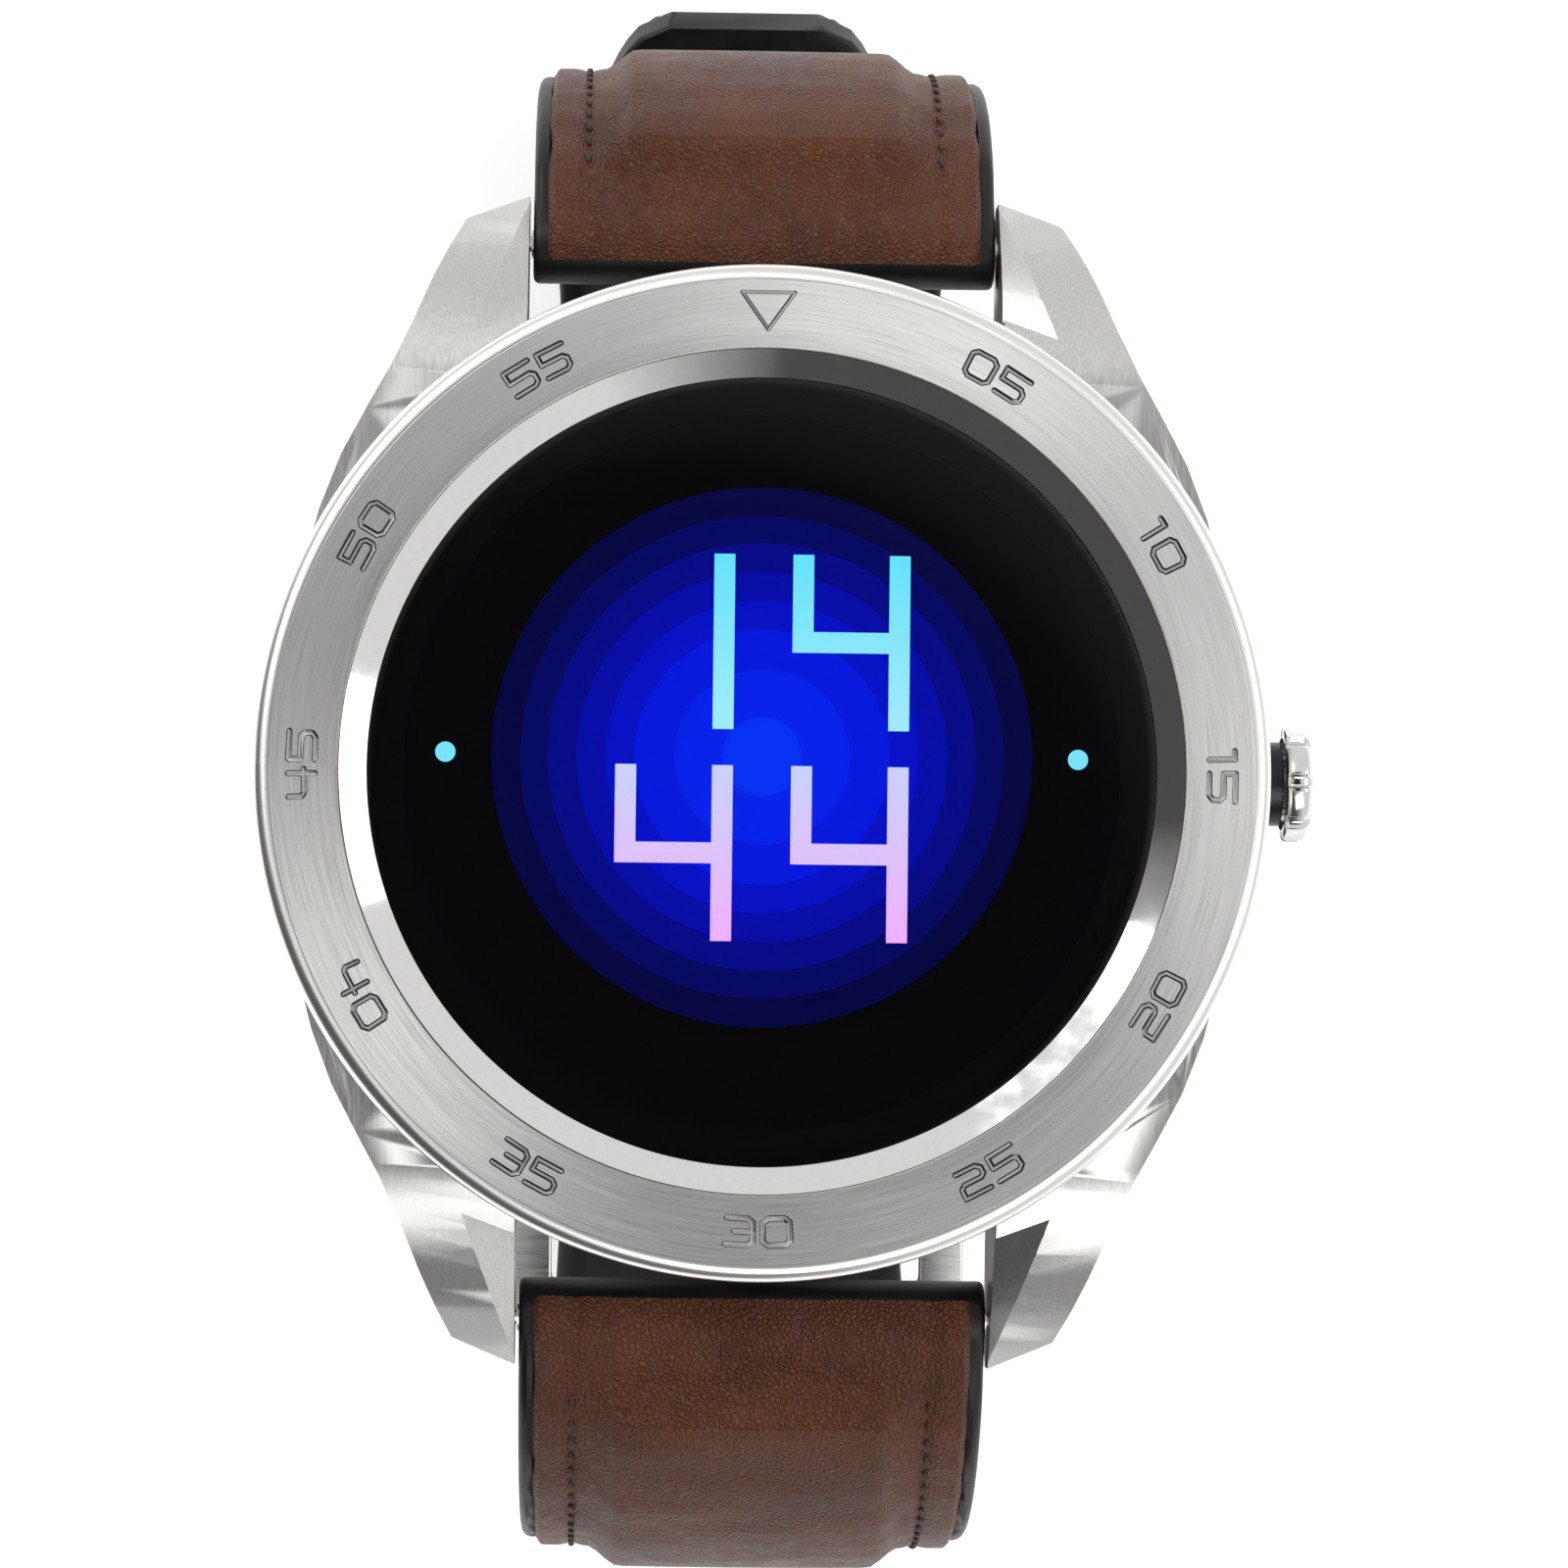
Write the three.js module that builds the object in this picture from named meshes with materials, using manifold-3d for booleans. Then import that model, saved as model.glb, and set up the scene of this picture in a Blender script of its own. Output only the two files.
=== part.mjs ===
// A round smartwatch on a rubber strap faced with leather, in millimetres.
// +Z points out of the display, +Y to 12 o'clock and +X to the crown.
// The origin is the middle of the sensor window's flat outer face, on the back of the case.
import * as THREE from "three";
import { mergeVertices } from "three/addons/utils/BufferGeometryUtils.js";
import Module from "manifold-3d";

const wasm = await Module();
wasm.setup();

// ---- driving dimensions -------------------------------------------------------------------

const FINE = 48; // sides of the large round parts
const MEDIUM = 32;
const SMALL = 14;
const FIT = 0.05; // gap between parts that touch
const TURNING_FIT = 0.08; // radial gap of a shaft that turns in a hole

// levels above the sensor window's outer face
const BACK_FACE = 0.45;
const CASE_BOTTOM = 1.7;
const SCREW_HEAD_TOP = 1.1;
const INSIDE_BOTTOM = 2.4;
const FLOOR_BOTTOM = 5.4;
const FLOOR_TOP = 6.0;
const BOARD_TOP = 6.9;
const CARRIER_BOTTOM = 8.85;
const PANEL_BOTTOM = 9.5;
const CASE_TOP = 9.6;
const GLASS_BOTTOM = 10.3;
const GLASS_TOP = 11.38;
const BEZEL_TOP = 12.3;

// radii
const BEZEL_RADIUS = 23.15;
const BEZEL_FLAT_RADIUS = 22.4;
const BEZEL_HOLE_RADIUS = 19.2;
const GLASS_EDGE_RADIUS = 17.95; // where the polished ring meets the glass
const DISPLAY_RADIUS = 16.3;
const CASE_RADIUS = 22.95;
const CAVITY_RADIUS = 18.9;
const BACK_RADIUS = 20.9;
const WINDOW_RADIUS = 11;
const SCREW_CIRCLE_RADIUS = 19.95;
const SCREW_HOLE = 0.66;
const SCREW_HEAD = 0.95;
const SCREW_SHANK = 0.55;
const GASKET_SEAT_RADIUS = 19.25;
const GASKET_SEAT_TOP = 2.3;

// lugs and spring bars
const LUG_GAP = 22;
const LUG_TIP = 27.3;
const BAR_Y = 25.1;
const BAR_Z = 3.2;
const BAR_RADIUS = 0.75;
const TIP_RADIUS = 0.38;
const GAP_WALL = 22.4; // the case wall between two lugs

// crown
const CROWN_Z = 6;
const CROWN_RADIUS = 2.68;
const CROWN_SKIRT = 24.25;
const CROWN_END = 25.6;
const STEM_RADIUS = 0.85;
const STEM_GROOVE = 0.6; // radius where the clip and the seal sit
const CROWN_TUBE_RADIUS = 1.5;
const CROWN_COLLAR_RADIUS = 1.95;
const CROWN_COLLAR_END = 24.15;
const FLUTES = 8;
const FLUTE_DEPTH = 0.3;

// strap
const BOSS_RADIUS = 1.85;
const STRAP_WIDTH = 21.6;
const BUCKLE_END_WIDTH = 18.4;
const TAIL_WIDTH = 18;
const RUBBER = 2.1; // thickness of the rubber
const LEATHER = 0.9;
const SKIN_GAP = 0.12; // adhesive between leather and rubber
const LEATHER_INSET = 0.7; // rubber left bare beside the leather
const PADDING = 1.05;
const PADDING_START = 2.9; // along the strap from its bar
const PADDING_FULL = 4.7;
const PADDING_FADE = 6; // the length in which the padding fades out
const PADDED_HALF_WIDTH = 6.6;
const FIRST_HEADING = 25; // degrees below the horizontal where the strap leaves its bar
// each bend is a length and the degrees that the strap turns in it
const SHORT_BENDS = [[16.6, 65], [28, 85], [30, 2]];
const LONG_BENDS = [[19.5, 65], [22, 12], [29, 78], [28, 0], [31, 36]];
const TAIL_ROUNDING = 14;
const TAIL_END_HALF_WIDTH = 4.3;

// ---- helpers ------------------------------------------------------------------------------

const degrees = THREE.MathUtils.degToRad;

function signedVolume(geometry) {
  const flat = geometry.index ? geometry.toNonIndexed() : geometry;
  const position = flat.getAttribute("position");
  const [a, b, c] = [new THREE.Vector3(), new THREE.Vector3(), new THREE.Vector3()];
  let sum = 0;
  for (let i = 0; i < position.count; i += 3) {
    a.fromBufferAttribute(position, i);
    b.fromBufferAttribute(position, i + 1);
    c.fromBufferAttribute(position, i + 2);
    sum += a.dot(b.cross(c)) / 6;
  }
  return sum;
}

// Only positions, shared between faces, with every face pointing out.
function closed(geometry) {
  const bare = geometry.clone();
  bare.deleteAttribute("normal");
  bare.deleteAttribute("uv");
  const merged = mergeVertices(bare, 1e-4);
  if (signedVolume(merged) < 0) merged.index.array.reverse();
  return merged;
}

function solid(geometry) {
  const merged = closed(geometry);
  return new wasm.Manifold(new wasm.Mesh({
    numProp: 3,
    vertProperties: merged.attributes.position.array,
    triVerts: new Uint32Array(merged.index.array),
  }));
}

function geometryOf(manifold) {
  const mesh = manifold.getMesh();
  const geometry = new THREE.BufferGeometry();
  geometry.setAttribute("position", new THREE.BufferAttribute(mesh.vertProperties, 3));
  geometry.setIndex(new THREE.BufferAttribute(mesh.triVerts, 1));
  return geometry;
}

// The first geometry, joined with the others in `add` and cut by those in `cut`.
function combine(base, { add = [], cut = [], keep = [] }) {
  let result = solid(base);
  for (const other of add) result = result.add(solid(other));
  for (const other of keep) result = result.intersect(solid(other));
  for (const other of cut) result = result.subtract(solid(other));
  return geometryOf(result);
}

// A turned part about Z from a profile of [radius, z] points; a ring's profile is closed here.
function turned(profile, sides = MEDIUM) {
  const onAxis = profile[0][0] === 0;
  const points = onAxis ? profile : [...profile, profile[0]];
  const vectors = points.map(([radius, z]) => new THREE.Vector2(radius, z));
  return new THREE.LatheGeometry(vectors, sides).rotateX(Math.PI / 2);
}

function disc(radius, low, high, sides = MEDIUM) {
  return turned([[0, low], [radius, low], [radius, high], [0, high]], sides);
}

function ring(inner, outer, low, high, sides = MEDIUM) {
  return turned([[inner, low], [outer, low], [outer, high], [inner, high]], sides);
}

function box(x0, x1, y0, y1, z0, z1) {
  return new THREE.BoxGeometry(x1 - x0, y1 - y0, z1 - z0)
    .translate((x0 + x1) / 2, (y0 + y1) / 2, (z0 + z1) / 2);
}

// Turns a part made about Z so that its axis is X.
function alongX(geometry, y = 0, z = 0) {
  return geometry.rotateY(Math.PI / 2).translate(0, y, z);
}

function extruded(shape, low, high) {
  return new THREE.ExtrudeGeometry(shape, { depth: high - low, bevelEnabled: false, curveSegments: 3 })
    .translate(0, 0, low);
}

// A side outline of [y, z] points, extruded along X.
function sideExtruded(outline, x0, x1) {
  const shape = new THREE.Shape(outline.map(([y, z]) => new THREE.Vector2(y, z)));
  return extruded(shape, x0, x1).rotateZ(Math.PI / 2).rotateY(Math.PI / 2);
}

function roundedRectangle(halfX, halfY, corner, Kind = THREE.Shape) {
  const shape = new Kind();
  shape.moveTo(halfX - corner, -halfY);
  shape.absarc(halfX - corner, corner - halfY, corner, -Math.PI / 2, 0, false);
  shape.absarc(halfX - corner, halfY - corner, corner, 0, Math.PI / 2, false);
  shape.absarc(corner - halfX, halfY - corner, corner, Math.PI / 2, Math.PI, false);
  shape.absarc(corner - halfX, corner - halfY, corner, Math.PI, 1.5 * Math.PI, false);
  return shape;
}

function roundedBlock(halfX, halfY, corner, low, high) {
  return extruded(roundedRectangle(halfX, halfY, corner), low, high);
}

class Helix extends THREE.Curve {
  constructor(radius, start, end, turns) {
    super();
    Object.assign(this, { radius, start, end, turns });
  }

  getPoint(t, target = new THREE.Vector3()) {
    const angle = 2 * Math.PI * this.turns * t;
    return target.set(
      this.start + (this.end - this.start) * t,
      this.radius * Math.cos(angle),
      this.radius * Math.sin(angle),
    );
  }
}

// A compression spring along X.
function spring(coilRadius, wireRadius, start, end, turns) {
  const section = new THREE.Shape();
  section.absarc(0, 0, wireRadius, 0, 2 * Math.PI, false);
  return new THREE.ExtrudeGeometry(section, {
    curveSegments: 3,
    steps: turns * 7,
    extrudePath: new Helix(coilRadius, start + wireRadius, end - wireRadius, turns),
  });
}

const watch = new THREE.Group();

function material(color, roughness, metalness = 0) {
  return new THREE.MeshStandardMaterial({ color, roughness, metalness });
}

const STEEL = material(0x8b8a88, 0.32, 1);
const POLISHED_STEEL = material(0xa9a8a5, 0.12, 1);
const BLACK_STEEL = material(0x1b1b1c, 0.35, 0.9);
const SPRING_STEEL = material(0xb8b6b0, 0.3, 1);
const GLASS = material(0x0a0c10, 0.05);
const BLACK_PLASTIC = material(0x151515, 0.5);
const SEAL_RUBBER = material(0x101010, 0.8);
const BOARD_GREEN = material(0x14503a, 0.5);
const BATTERY_FOIL = material(0x3a3b3d, 0.4, 0.3);
const FLEX = material(0x8a5a1c, 0.5);
const STRAP_RUBBER = material(0x161617, 0.65);
const STRAP_LEATHER = material(0x4a2318, 0.6);
const FOAM = material(0xd8d2c4, 0.9);
const LED_GREEN = material(0x6fd07a, 0.3);
const DIODE = material(0x23252b, 0.25);
const GOLD = material(0xd0a448, 0.25, 1);

function add(name, geometry, surface, parent = watch) {
  const merged = closed(geometry);
  merged.computeVertexNormals();
  const mesh = new THREE.Mesh(merged, surface);
  mesh.name = name;
  parent.add(mesh);
  return mesh;
}

// ---- case ---------------------------------------------------------------------------------

// One lug seen from above; the flank runs on from the round case.
function lugPlan(sideX, sideY) {
  const flank = [[13.9, 26], [15.3, 23], [17.2, 18.5], [19.5, 14.5], [21.1, 9]];
  const curve = new THREE.SplineCurve(flank.map(([x, y]) => new THREE.Vector2(x, y)));
  const inner = LUG_GAP / 2;
  const points = [[inner, 9], [inner, LUG_TIP], ...curve.getPoints(8).map((p) => [p.x, p.y])];
  return new THREE.Shape(points.map(([x, y]) => new THREE.Vector2(x * sideX, y * sideY)));
}

// The lugs seen from the crown side: they slope down to their tips.
function lugSide(sideY) {
  const outline = [
    [8, 1.5], [18, 1.2], [24, 0.9], [LUG_TIP - 0.6, 1.1], [LUG_TIP, 1.7], [LUG_TIP, 3.6],
    [25.4, 5.6], [23.4, 7.4], [20.6, 8.9], [18, 9.5], [8, CASE_TOP],
  ];
  return sideExtruded(outline.map(([y, z]) => [y * sideY, z]), -CASE_RADIUS, CASE_RADIUS);
}

const FACET_WIDTH = 2.4;
const FACET_DEPTH = 1.1; // how far the facet drops towards the gap
const FACET_CORNER = 21.3; // along Y, where the facet meets the gap
const FACET_BACK = 20.3; // along Y, where its far corner lies
const FACET_TOP = 8.5;
const FACET_SLOPE = 0.98; // fall for each millimetre towards the lug's tip

// How high the facet lies, `x` from the gap and `y` from the middle of the watch.
function facetHeight(x, y) {
  if (y < FACET_CORNER - 0.3) return FACET_TOP + 0.6;
  const fall = FACET_SLOPE * Math.max(0, y - FACET_CORNER);
  return FACET_TOP - fall - FACET_DEPTH * (1 - x / FACET_WIDTH);
}

// The tool that cuts the sloping facet beside a lug's inner edge.
function lugFacet(sideX, sideY) {
  const inner = LUG_GAP / 2;
  const outer = inner + FACET_WIDTH;
  const points = [[inner, LUG_TIP + 1], [inner, FACET_CORNER], [outer, FACET_BACK], [outer, LUG_TIP + 1]];
  const shape = new THREE.Shape(points.map(([x, y]) => new THREE.Vector2(x * sideX, y * sideY)));
  const slab = extruded(shape, 0, 6);
  const position = slab.getAttribute("position");
  for (let i = 0; i < position.count; i += 1) {
    const height = facetHeight(Math.abs(position.getX(i)) - inner, Math.abs(position.getY(i)));
    position.setZ(i, position.getZ(i) < 1 ? height : CASE_TOP + 4);
  }
  return slab;
}

function makeCaseMiddle() {
  let shell = solid(turned([
    [CAVITY_RADIUS, CASE_BOTTOM], [21.1, CASE_BOTTOM],
    [CASE_RADIUS - 0.35, 4.2], [CASE_RADIUS, 6.5], [CASE_RADIUS, CASE_TOP], [CAVITY_RADIUS, CASE_TOP],
  ], FINE));
  const cutters = [
    disc(BACK_RADIUS + 0.2, -1, CASE_BOTTOM, FINE), disc(CAVITY_RADIUS, 0, CASE_TOP + 1, FINE),
    disc(GASKET_SEAT_RADIUS, 0, GASKET_SEAT_TOP, FINE),
    alongX(disc(CROWN_TUBE_RADIUS + FIT, 16, 26, SMALL), 0, CROWN_Z),
    ...screwPlaces().map(([x, y]) => disc(SCREW_HOLE, 0, 4.6, 12).translate(x, y, 0)),
  ];
  for (const sideY of [1, -1]) {
    const side = solid(lugSide(sideY));
    for (const sideX of [1, -1]) {
      shell = shell.add(solid(extruded(lugPlan(sideX, sideY), 0.5, CASE_TOP)).intersect(side));
      cutters.push(lugFacet(sideX, sideY));
    }
    const gap = box(-LUG_GAP / 2, LUG_GAP / 2, GAP_WALL, 30, -1, 14);
    cutters.push(sideY > 0 ? gap : gap.rotateZ(Math.PI));
    cutters.push(alongX(disc(TIP_RADIUS + TURNING_FIT, -12.4, 12.4, SMALL), BAR_Y * sideY, BAR_Z));
  }
  for (const cutter of cutters) shell = shell.subtract(solid(cutter));
  add("case_middle", geometryOf(shell), STEEL);
}

function screwPlaces() {
  return [0, 1, 2, 3].map((i) => {
    const angle = Math.PI / 4 + (i * Math.PI) / 2;
    return [SCREW_CIRCLE_RADIUS * Math.cos(angle), SCREW_CIRCLE_RADIUS * Math.sin(angle)];
  });
}

function makeBezel() {
  add("bezel_ring", turned([
    [BEZEL_HOLE_RADIUS, CASE_TOP + FIT], [BEZEL_RADIUS - 0.5, CASE_TOP + FIT], [BEZEL_RADIUS, 10.2],
    [BEZEL_RADIUS, 11.5], [BEZEL_FLAT_RADIUS, BEZEL_TOP - 0.12], [BEZEL_HOLE_RADIUS, BEZEL_TOP],
  ], FINE), STEEL);
  const outer = BEZEL_HOLE_RADIUS - FIT;
  add("inner_chamfer_ring", turned([
    [GLASS_EDGE_RADIUS, GLASS_TOP + FIT], [outer, GLASS_TOP + FIT],
    [outer, BEZEL_TOP - 0.05], [outer - 0.15, BEZEL_TOP - 0.05],
  ], FINE), POLISHED_STEEL);
}

function makeGlassAndDisplay() {
  const edge = BEZEL_HOLE_RADIUS - 0.1;
  add("cover_glass", turned([
    [0, GLASS_BOTTOM], [edge, GLASS_BOTTOM], [edge, GLASS_TOP - 0.2],
    [GLASS_EDGE_RADIUS - 0.4, GLASS_TOP], [0, GLASS_TOP],
  ], FINE), GLASS);
  add("glass_gasket", ring(18.1, edge, CASE_TOP + FIT, GLASS_BOTTOM - FIT), SEAL_RUBBER);
  add("display_mask", ring(DISPLAY_RADIUS, 17.95, 10.14, GLASS_BOTTOM - 0.02), BLACK_PLASTIC);
  add("display_panel", disc(17.8, PANEL_BOTTOM, 10.1), BLACK_PLASTIC);
  const slot = box(-3.6, 3.6, -16, -14.8, 8, 10);
  add("display_carrier", combine(disc(17.8, CARRIER_BOTTOM, 9.3), { cut: [slot] }), STEEL);
  const film = 0.12;
  const high = PANEL_BOTTOM - 0.04;
  const low = BOARD_TOP + 0.03;
  add("display_flex", sideExtruded([
    [-12, high], [-15.4, high], [-15.4, low], [-12.4, low], [-12.4, low + film],
    [-15.4 + film, low + film], [-15.4 + film, high - film], [-12, high - film],
  ], -3, 3), FLEX);
}

// ---- inside the case ----------------------------------------------------------------------

function makeMidframe() {
  const crownNotch = box(13.5, 20, -3.2, 3.2, 3.6, CARRIER_BOTTOM + 1);
  add("midframe", combine(disc(CAVITY_RADIUS - 0.1, INSIDE_BOTTOM, CARRIER_BOTTOM - FIT, MEDIUM), {
    cut: [
      disc(17.6, FLOOR_TOP, CARRIER_BOTTOM + 1),
      disc(17.6, 0, FLOOR_BOTTOM),
      roundedBlock(10.3, 8.8, 1.2, FLOOR_BOTTOM - 1, FLOOR_TOP + 1),
      crownNotch,
    ],
  }), BLACK_PLASTIC);
}

function makeElectronics() {
  const chips = [
    box(-6.5, 0.5, -2, 5, BOARD_TOP - 0.2, 8.1), box(3, 8, -6, -1, BOARD_TOP - 0.2, 7.9),
    box(3, 9.5, 2, 7, BOARD_TOP - 0.2, 8.2), box(-12.5, -9, -3, 3, BOARD_TOP - 0.2, 7.7),
    box(-5, 3, 9, 13, BOARD_TOP - 0.2, 8.0), box(-8, -4, -9.5, -5, BOARD_TOP - 0.2, 7.8),
  ];
  add("main_pcb", combine(disc(17.2, FLOOR_TOP + 0.1, BOARD_TOP), {
    add: chips,
    cut: [box(13.5, 20, -3.4, 3.4, 4, 9)],
  }), BOARD_GREEN);
  add("battery", roundedBlock(10, 8.5, 1, 2.65, FLOOR_TOP - 0.1), BATTERY_FOIL);
  add("battery_pad", box(-8, 8, -6.5, 6.5, FLOOR_TOP - 0.08, FLOOR_TOP + 0.08), FOAM);
  add("vibration_motor", disc(3.9, 2.65, 5.1, 28).translate(0, 12.9, 0), SPRING_STEEL);
  add("speaker", roundedBlock(4.5, 2.2, 0.8, 2.65, 5.2).translate(0, -12.3, 0), BLACK_PLASTIC);
  add("microphone", box(-14.6, -12, -8.8, -7, 2.65, 3.7), SPRING_STEEL);
}

// ---- back of the case ---------------------------------------------------------------------

const CONTACTS_X = [-2.5, 2.5]; // the two charging contacts
const CONTACTS_Y = -14.5;

function makeBack() {
  const holes = [
    disc(WINDOW_RADIUS + 0.1, -1, 0.9, MEDIUM),
    disc(8.5, -1, 3, MEDIUM),
  ];
  for (const [x, y] of screwPlaces()) {
    holes.push(disc(SCREW_HOLE, -1, 3, 12).translate(x, y, 0));
    holes.push(disc(SCREW_HEAD + 0.1, -1, SCREW_HEAD_TOP, 12).translate(x, y, 0));
  }
  for (const x of CONTACTS_X) holes.push(disc(1.1, -1, 3, SMALL).translate(x, CONTACTS_Y, 0));
  add("case_back", combine(turned([
    [0, BACK_FACE], [20.1, BACK_FACE], [BACK_RADIUS, 1.1],
    [BACK_RADIUS, CASE_BOTTOM - FIT], [0, CASE_BOTTOM - FIT],
  ], FINE), { cut: holes }), STEEL);
  const gasket = ring(CAVITY_RADIUS + FIT, GASKET_SEAT_RADIUS - FIT, CASE_BOTTOM, GASKET_SEAT_TOP - FIT);
  add("case_back_gasket", gasket, SEAL_RUBBER);
  screwPlaces().forEach(([x, y], i) => {
    const driveSlot = box(-SCREW_HEAD, SCREW_HEAD, -0.14, 0.14, 0, 0.75);
    add(`case_back_screw_${i + 1}`, combine(turned([
      [0, 0.5], [SCREW_HEAD, 0.5], [SCREW_HEAD, SCREW_HEAD_TOP - 0.05],
      [SCREW_SHANK, SCREW_HEAD_TOP - 0.05], [SCREW_SHANK, 4.3], [0, 4.3],
    ], 12), { cut: [driveSlot] }).translate(x, y, 0), POLISHED_STEEL);
  });
  add("sensor_window", turned([
    [0, 0], [10.3, 0], [WINDOW_RADIUS, 0.45], [WINDOW_RADIUS, 0.84], [0, 0.84],
  ]), GLASS);
  add("sensor_board", disc(9.5, CASE_BOTTOM, 2.35, 32), BOARD_GREEN);
  for (const [i, x] of [-4.6, 4.6].entries()) {
    add(`green_led_${i + 1}`, box(x - 0.9, x + 0.9, -0.9, 0.9, 0.92, CASE_BOTTOM - 0.02), LED_GREEN);
  }
  for (const [i, x] of CONTACTS_X.entries()) {
    add(`charging_contact_${i + 1}`, turned([
      [0, 0.3], [0.8, 0.3], [1, 0.5], [1, 2.1], [0, 2.1],
    ], SMALL).translate(x, CONTACTS_Y, 0), GOLD);
  }
  add("photodiode", box(-1.4, 1.4, -1.2, 1.2, 0.92, CASE_BOTTOM - 0.02), DIODE);
}

// ---- crown --------------------------------------------------------------------------------

// The fluted head's outline: narrow notches between wide lands.
function flutedOutline() {
  const points = [];
  const steps = FLUTES * 6;
  for (let i = 0; i < steps; i += 1) {
    const angle = (2 * Math.PI * i) / steps;
    const notch = Math.max(0, Math.cos(FLUTES * angle)) ** 2;
    const here = CROWN_RADIUS - FLUTE_DEPTH * notch;
    points.push(new THREE.Vector2(here * Math.cos(angle), here * Math.sin(angle)));
  }
  return new THREE.Shape(points);
}

function makeCrown() {
  const flutes = extruded(flutedOutline(), CROWN_SKIRT, CROWN_END);
  const dome = turned([
    [0, CROWN_SKIRT - 1], [CROWN_RADIUS - 0.15, CROWN_SKIRT - 1], [CROWN_RADIUS - 0.15, CROWN_SKIRT],
    [CROWN_RADIUS, CROWN_SKIRT + 0.2], [CROWN_RADIUS, CROWN_END - 0.5],
    [CROWN_RADIUS - 0.45, CROWN_END - 0.1], [1.4, CROWN_END], [0, CROWN_END],
  ], MEDIUM);
  const skirtHollow = disc(2.15, CROWN_SKIRT - 1, 24.75, 24);
  const stemHole = disc(STEM_RADIUS + 0.05, 24, 25.2, SMALL);
  add("crown_head", alongX(combine(flutes, { keep: [dome], cut: [skirtHollow, stemHole] }), 0, CROWN_Z),
    POLISHED_STEEL);
  add("crown_tube", alongX(turned([
    [STEM_RADIUS + TURNING_FIT, 18.95], [CROWN_TUBE_RADIUS, 18.95],
    [CROWN_TUBE_RADIUS, CASE_RADIUS + FIT], [CROWN_COLLAR_RADIUS, CASE_RADIUS + FIT],
    [CROWN_COLLAR_RADIUS, CROWN_COLLAR_END], [STEM_RADIUS + TURNING_FIT, CROWN_COLLAR_END],
  ], 24), 0, CROWN_Z), BLACK_STEEL);
  const groove = STEM_GROOVE;
  add("crown_stem", alongX(turned([
    [0, 17.2], [0.6, 17.2], [STEM_RADIUS, 17.45], [STEM_RADIUS, 18.35], [groove, 18.35],
    [groove, 18.75], [STEM_RADIUS, 18.75], [STEM_RADIUS, 21.15], [groove, 21.15],
    [groove, 21.65], [STEM_RADIUS, 21.65], [STEM_RADIUS, 25.15], [0, 25.15],
  ], SMALL), 0, CROWN_Z), SPRING_STEEL);
  add("crown_o_ring", alongX(new THREE.TorusGeometry(0.76, 0.14, 6, SMALL).translate(0, 0, 21.4), 0, CROWN_Z),
    SEAL_RUBBER);
  add("crown_clip", alongX(extruded(clipOutline(groove + 0.05, 1.4), 18.4, 18.7), 0, CROWN_Z), SPRING_STEEL);
  add("crown_spring", spring(1.2, 0.13, 16.95, 18.35, 3).translate(0, 0, CROWN_Z), SPRING_STEEL);
  add("crown_switch", combine(box(14.6, 16.6, -1.7, 1.7, 3.65, 7.6), {
    add: [alongX(disc(1.6, 16.4, 16.9, SMALL), 0, CROWN_Z)],
    cut: [alongX(disc(0.95, 16.6, 18, SMALL), 0, CROWN_Z)],
  }), BLACK_PLASTIC);
}

// An open retaining clip.
function clipOutline(inner, outer) {
  const mouth = degrees(35);
  const shape = new THREE.Shape();
  shape.absarc(0, 0, outer, mouth, 2 * Math.PI - mouth, false);
  shape.absarc(0, 0, inner, 2 * Math.PI - mouth, mouth, true);
  return shape;
}

// ---- spring bars --------------------------------------------------------------------------

const BAR_TUBE_END = 9.5;
const BAR_BORE = 0.55;
const BAR_TIP_END = 12.1;

function makeSpringBar(place, y) {
  const tipHole = TIP_RADIUS + 0.05;
  const shoulder = BAR_TUBE_END - 0.5;
  add(`spring_bar_${place}_tube`, alongX(turned([
    [tipHole, -BAR_TUBE_END], [BAR_RADIUS, -BAR_TUBE_END], [BAR_RADIUS, BAR_TUBE_END],
    [tipHole, BAR_TUBE_END], [tipHole, shoulder], [BAR_BORE, shoulder],
    [BAR_BORE, -shoulder], [tipHole, -shoulder],
  ], SMALL), y, BAR_Z), SPRING_STEEL);
  for (const [end, side] of [["crown_side", 1], ["far_side", -1]]) {
    const tip = turned([
      [0, 7.7], [0.48, 7.7], [0.48, shoulder - FIT], [TIP_RADIUS, shoulder - FIT],
      [TIP_RADIUS, 10.7], [0.68, 10.7], [0.68, 10.9], [TIP_RADIUS, 10.9],
      [TIP_RADIUS, BAR_TIP_END - 0.15], [TIP_RADIUS - 0.15, BAR_TIP_END], [0, BAR_TIP_END],
    ].map(([radius, x]) => [radius, x * side]), 12);
    add(`spring_bar_${place}_tip_${end}`, alongX(tip, y, BAR_Z), SPRING_STEEL);
  }
  add(`spring_bar_${place}_spring`, spring(0.4, 0.09, -7.65, 7.65, 5).translate(0, y, BAR_Z), SPRING_STEEL);
}

// ---- strap --------------------------------------------------------------------------------

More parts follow.
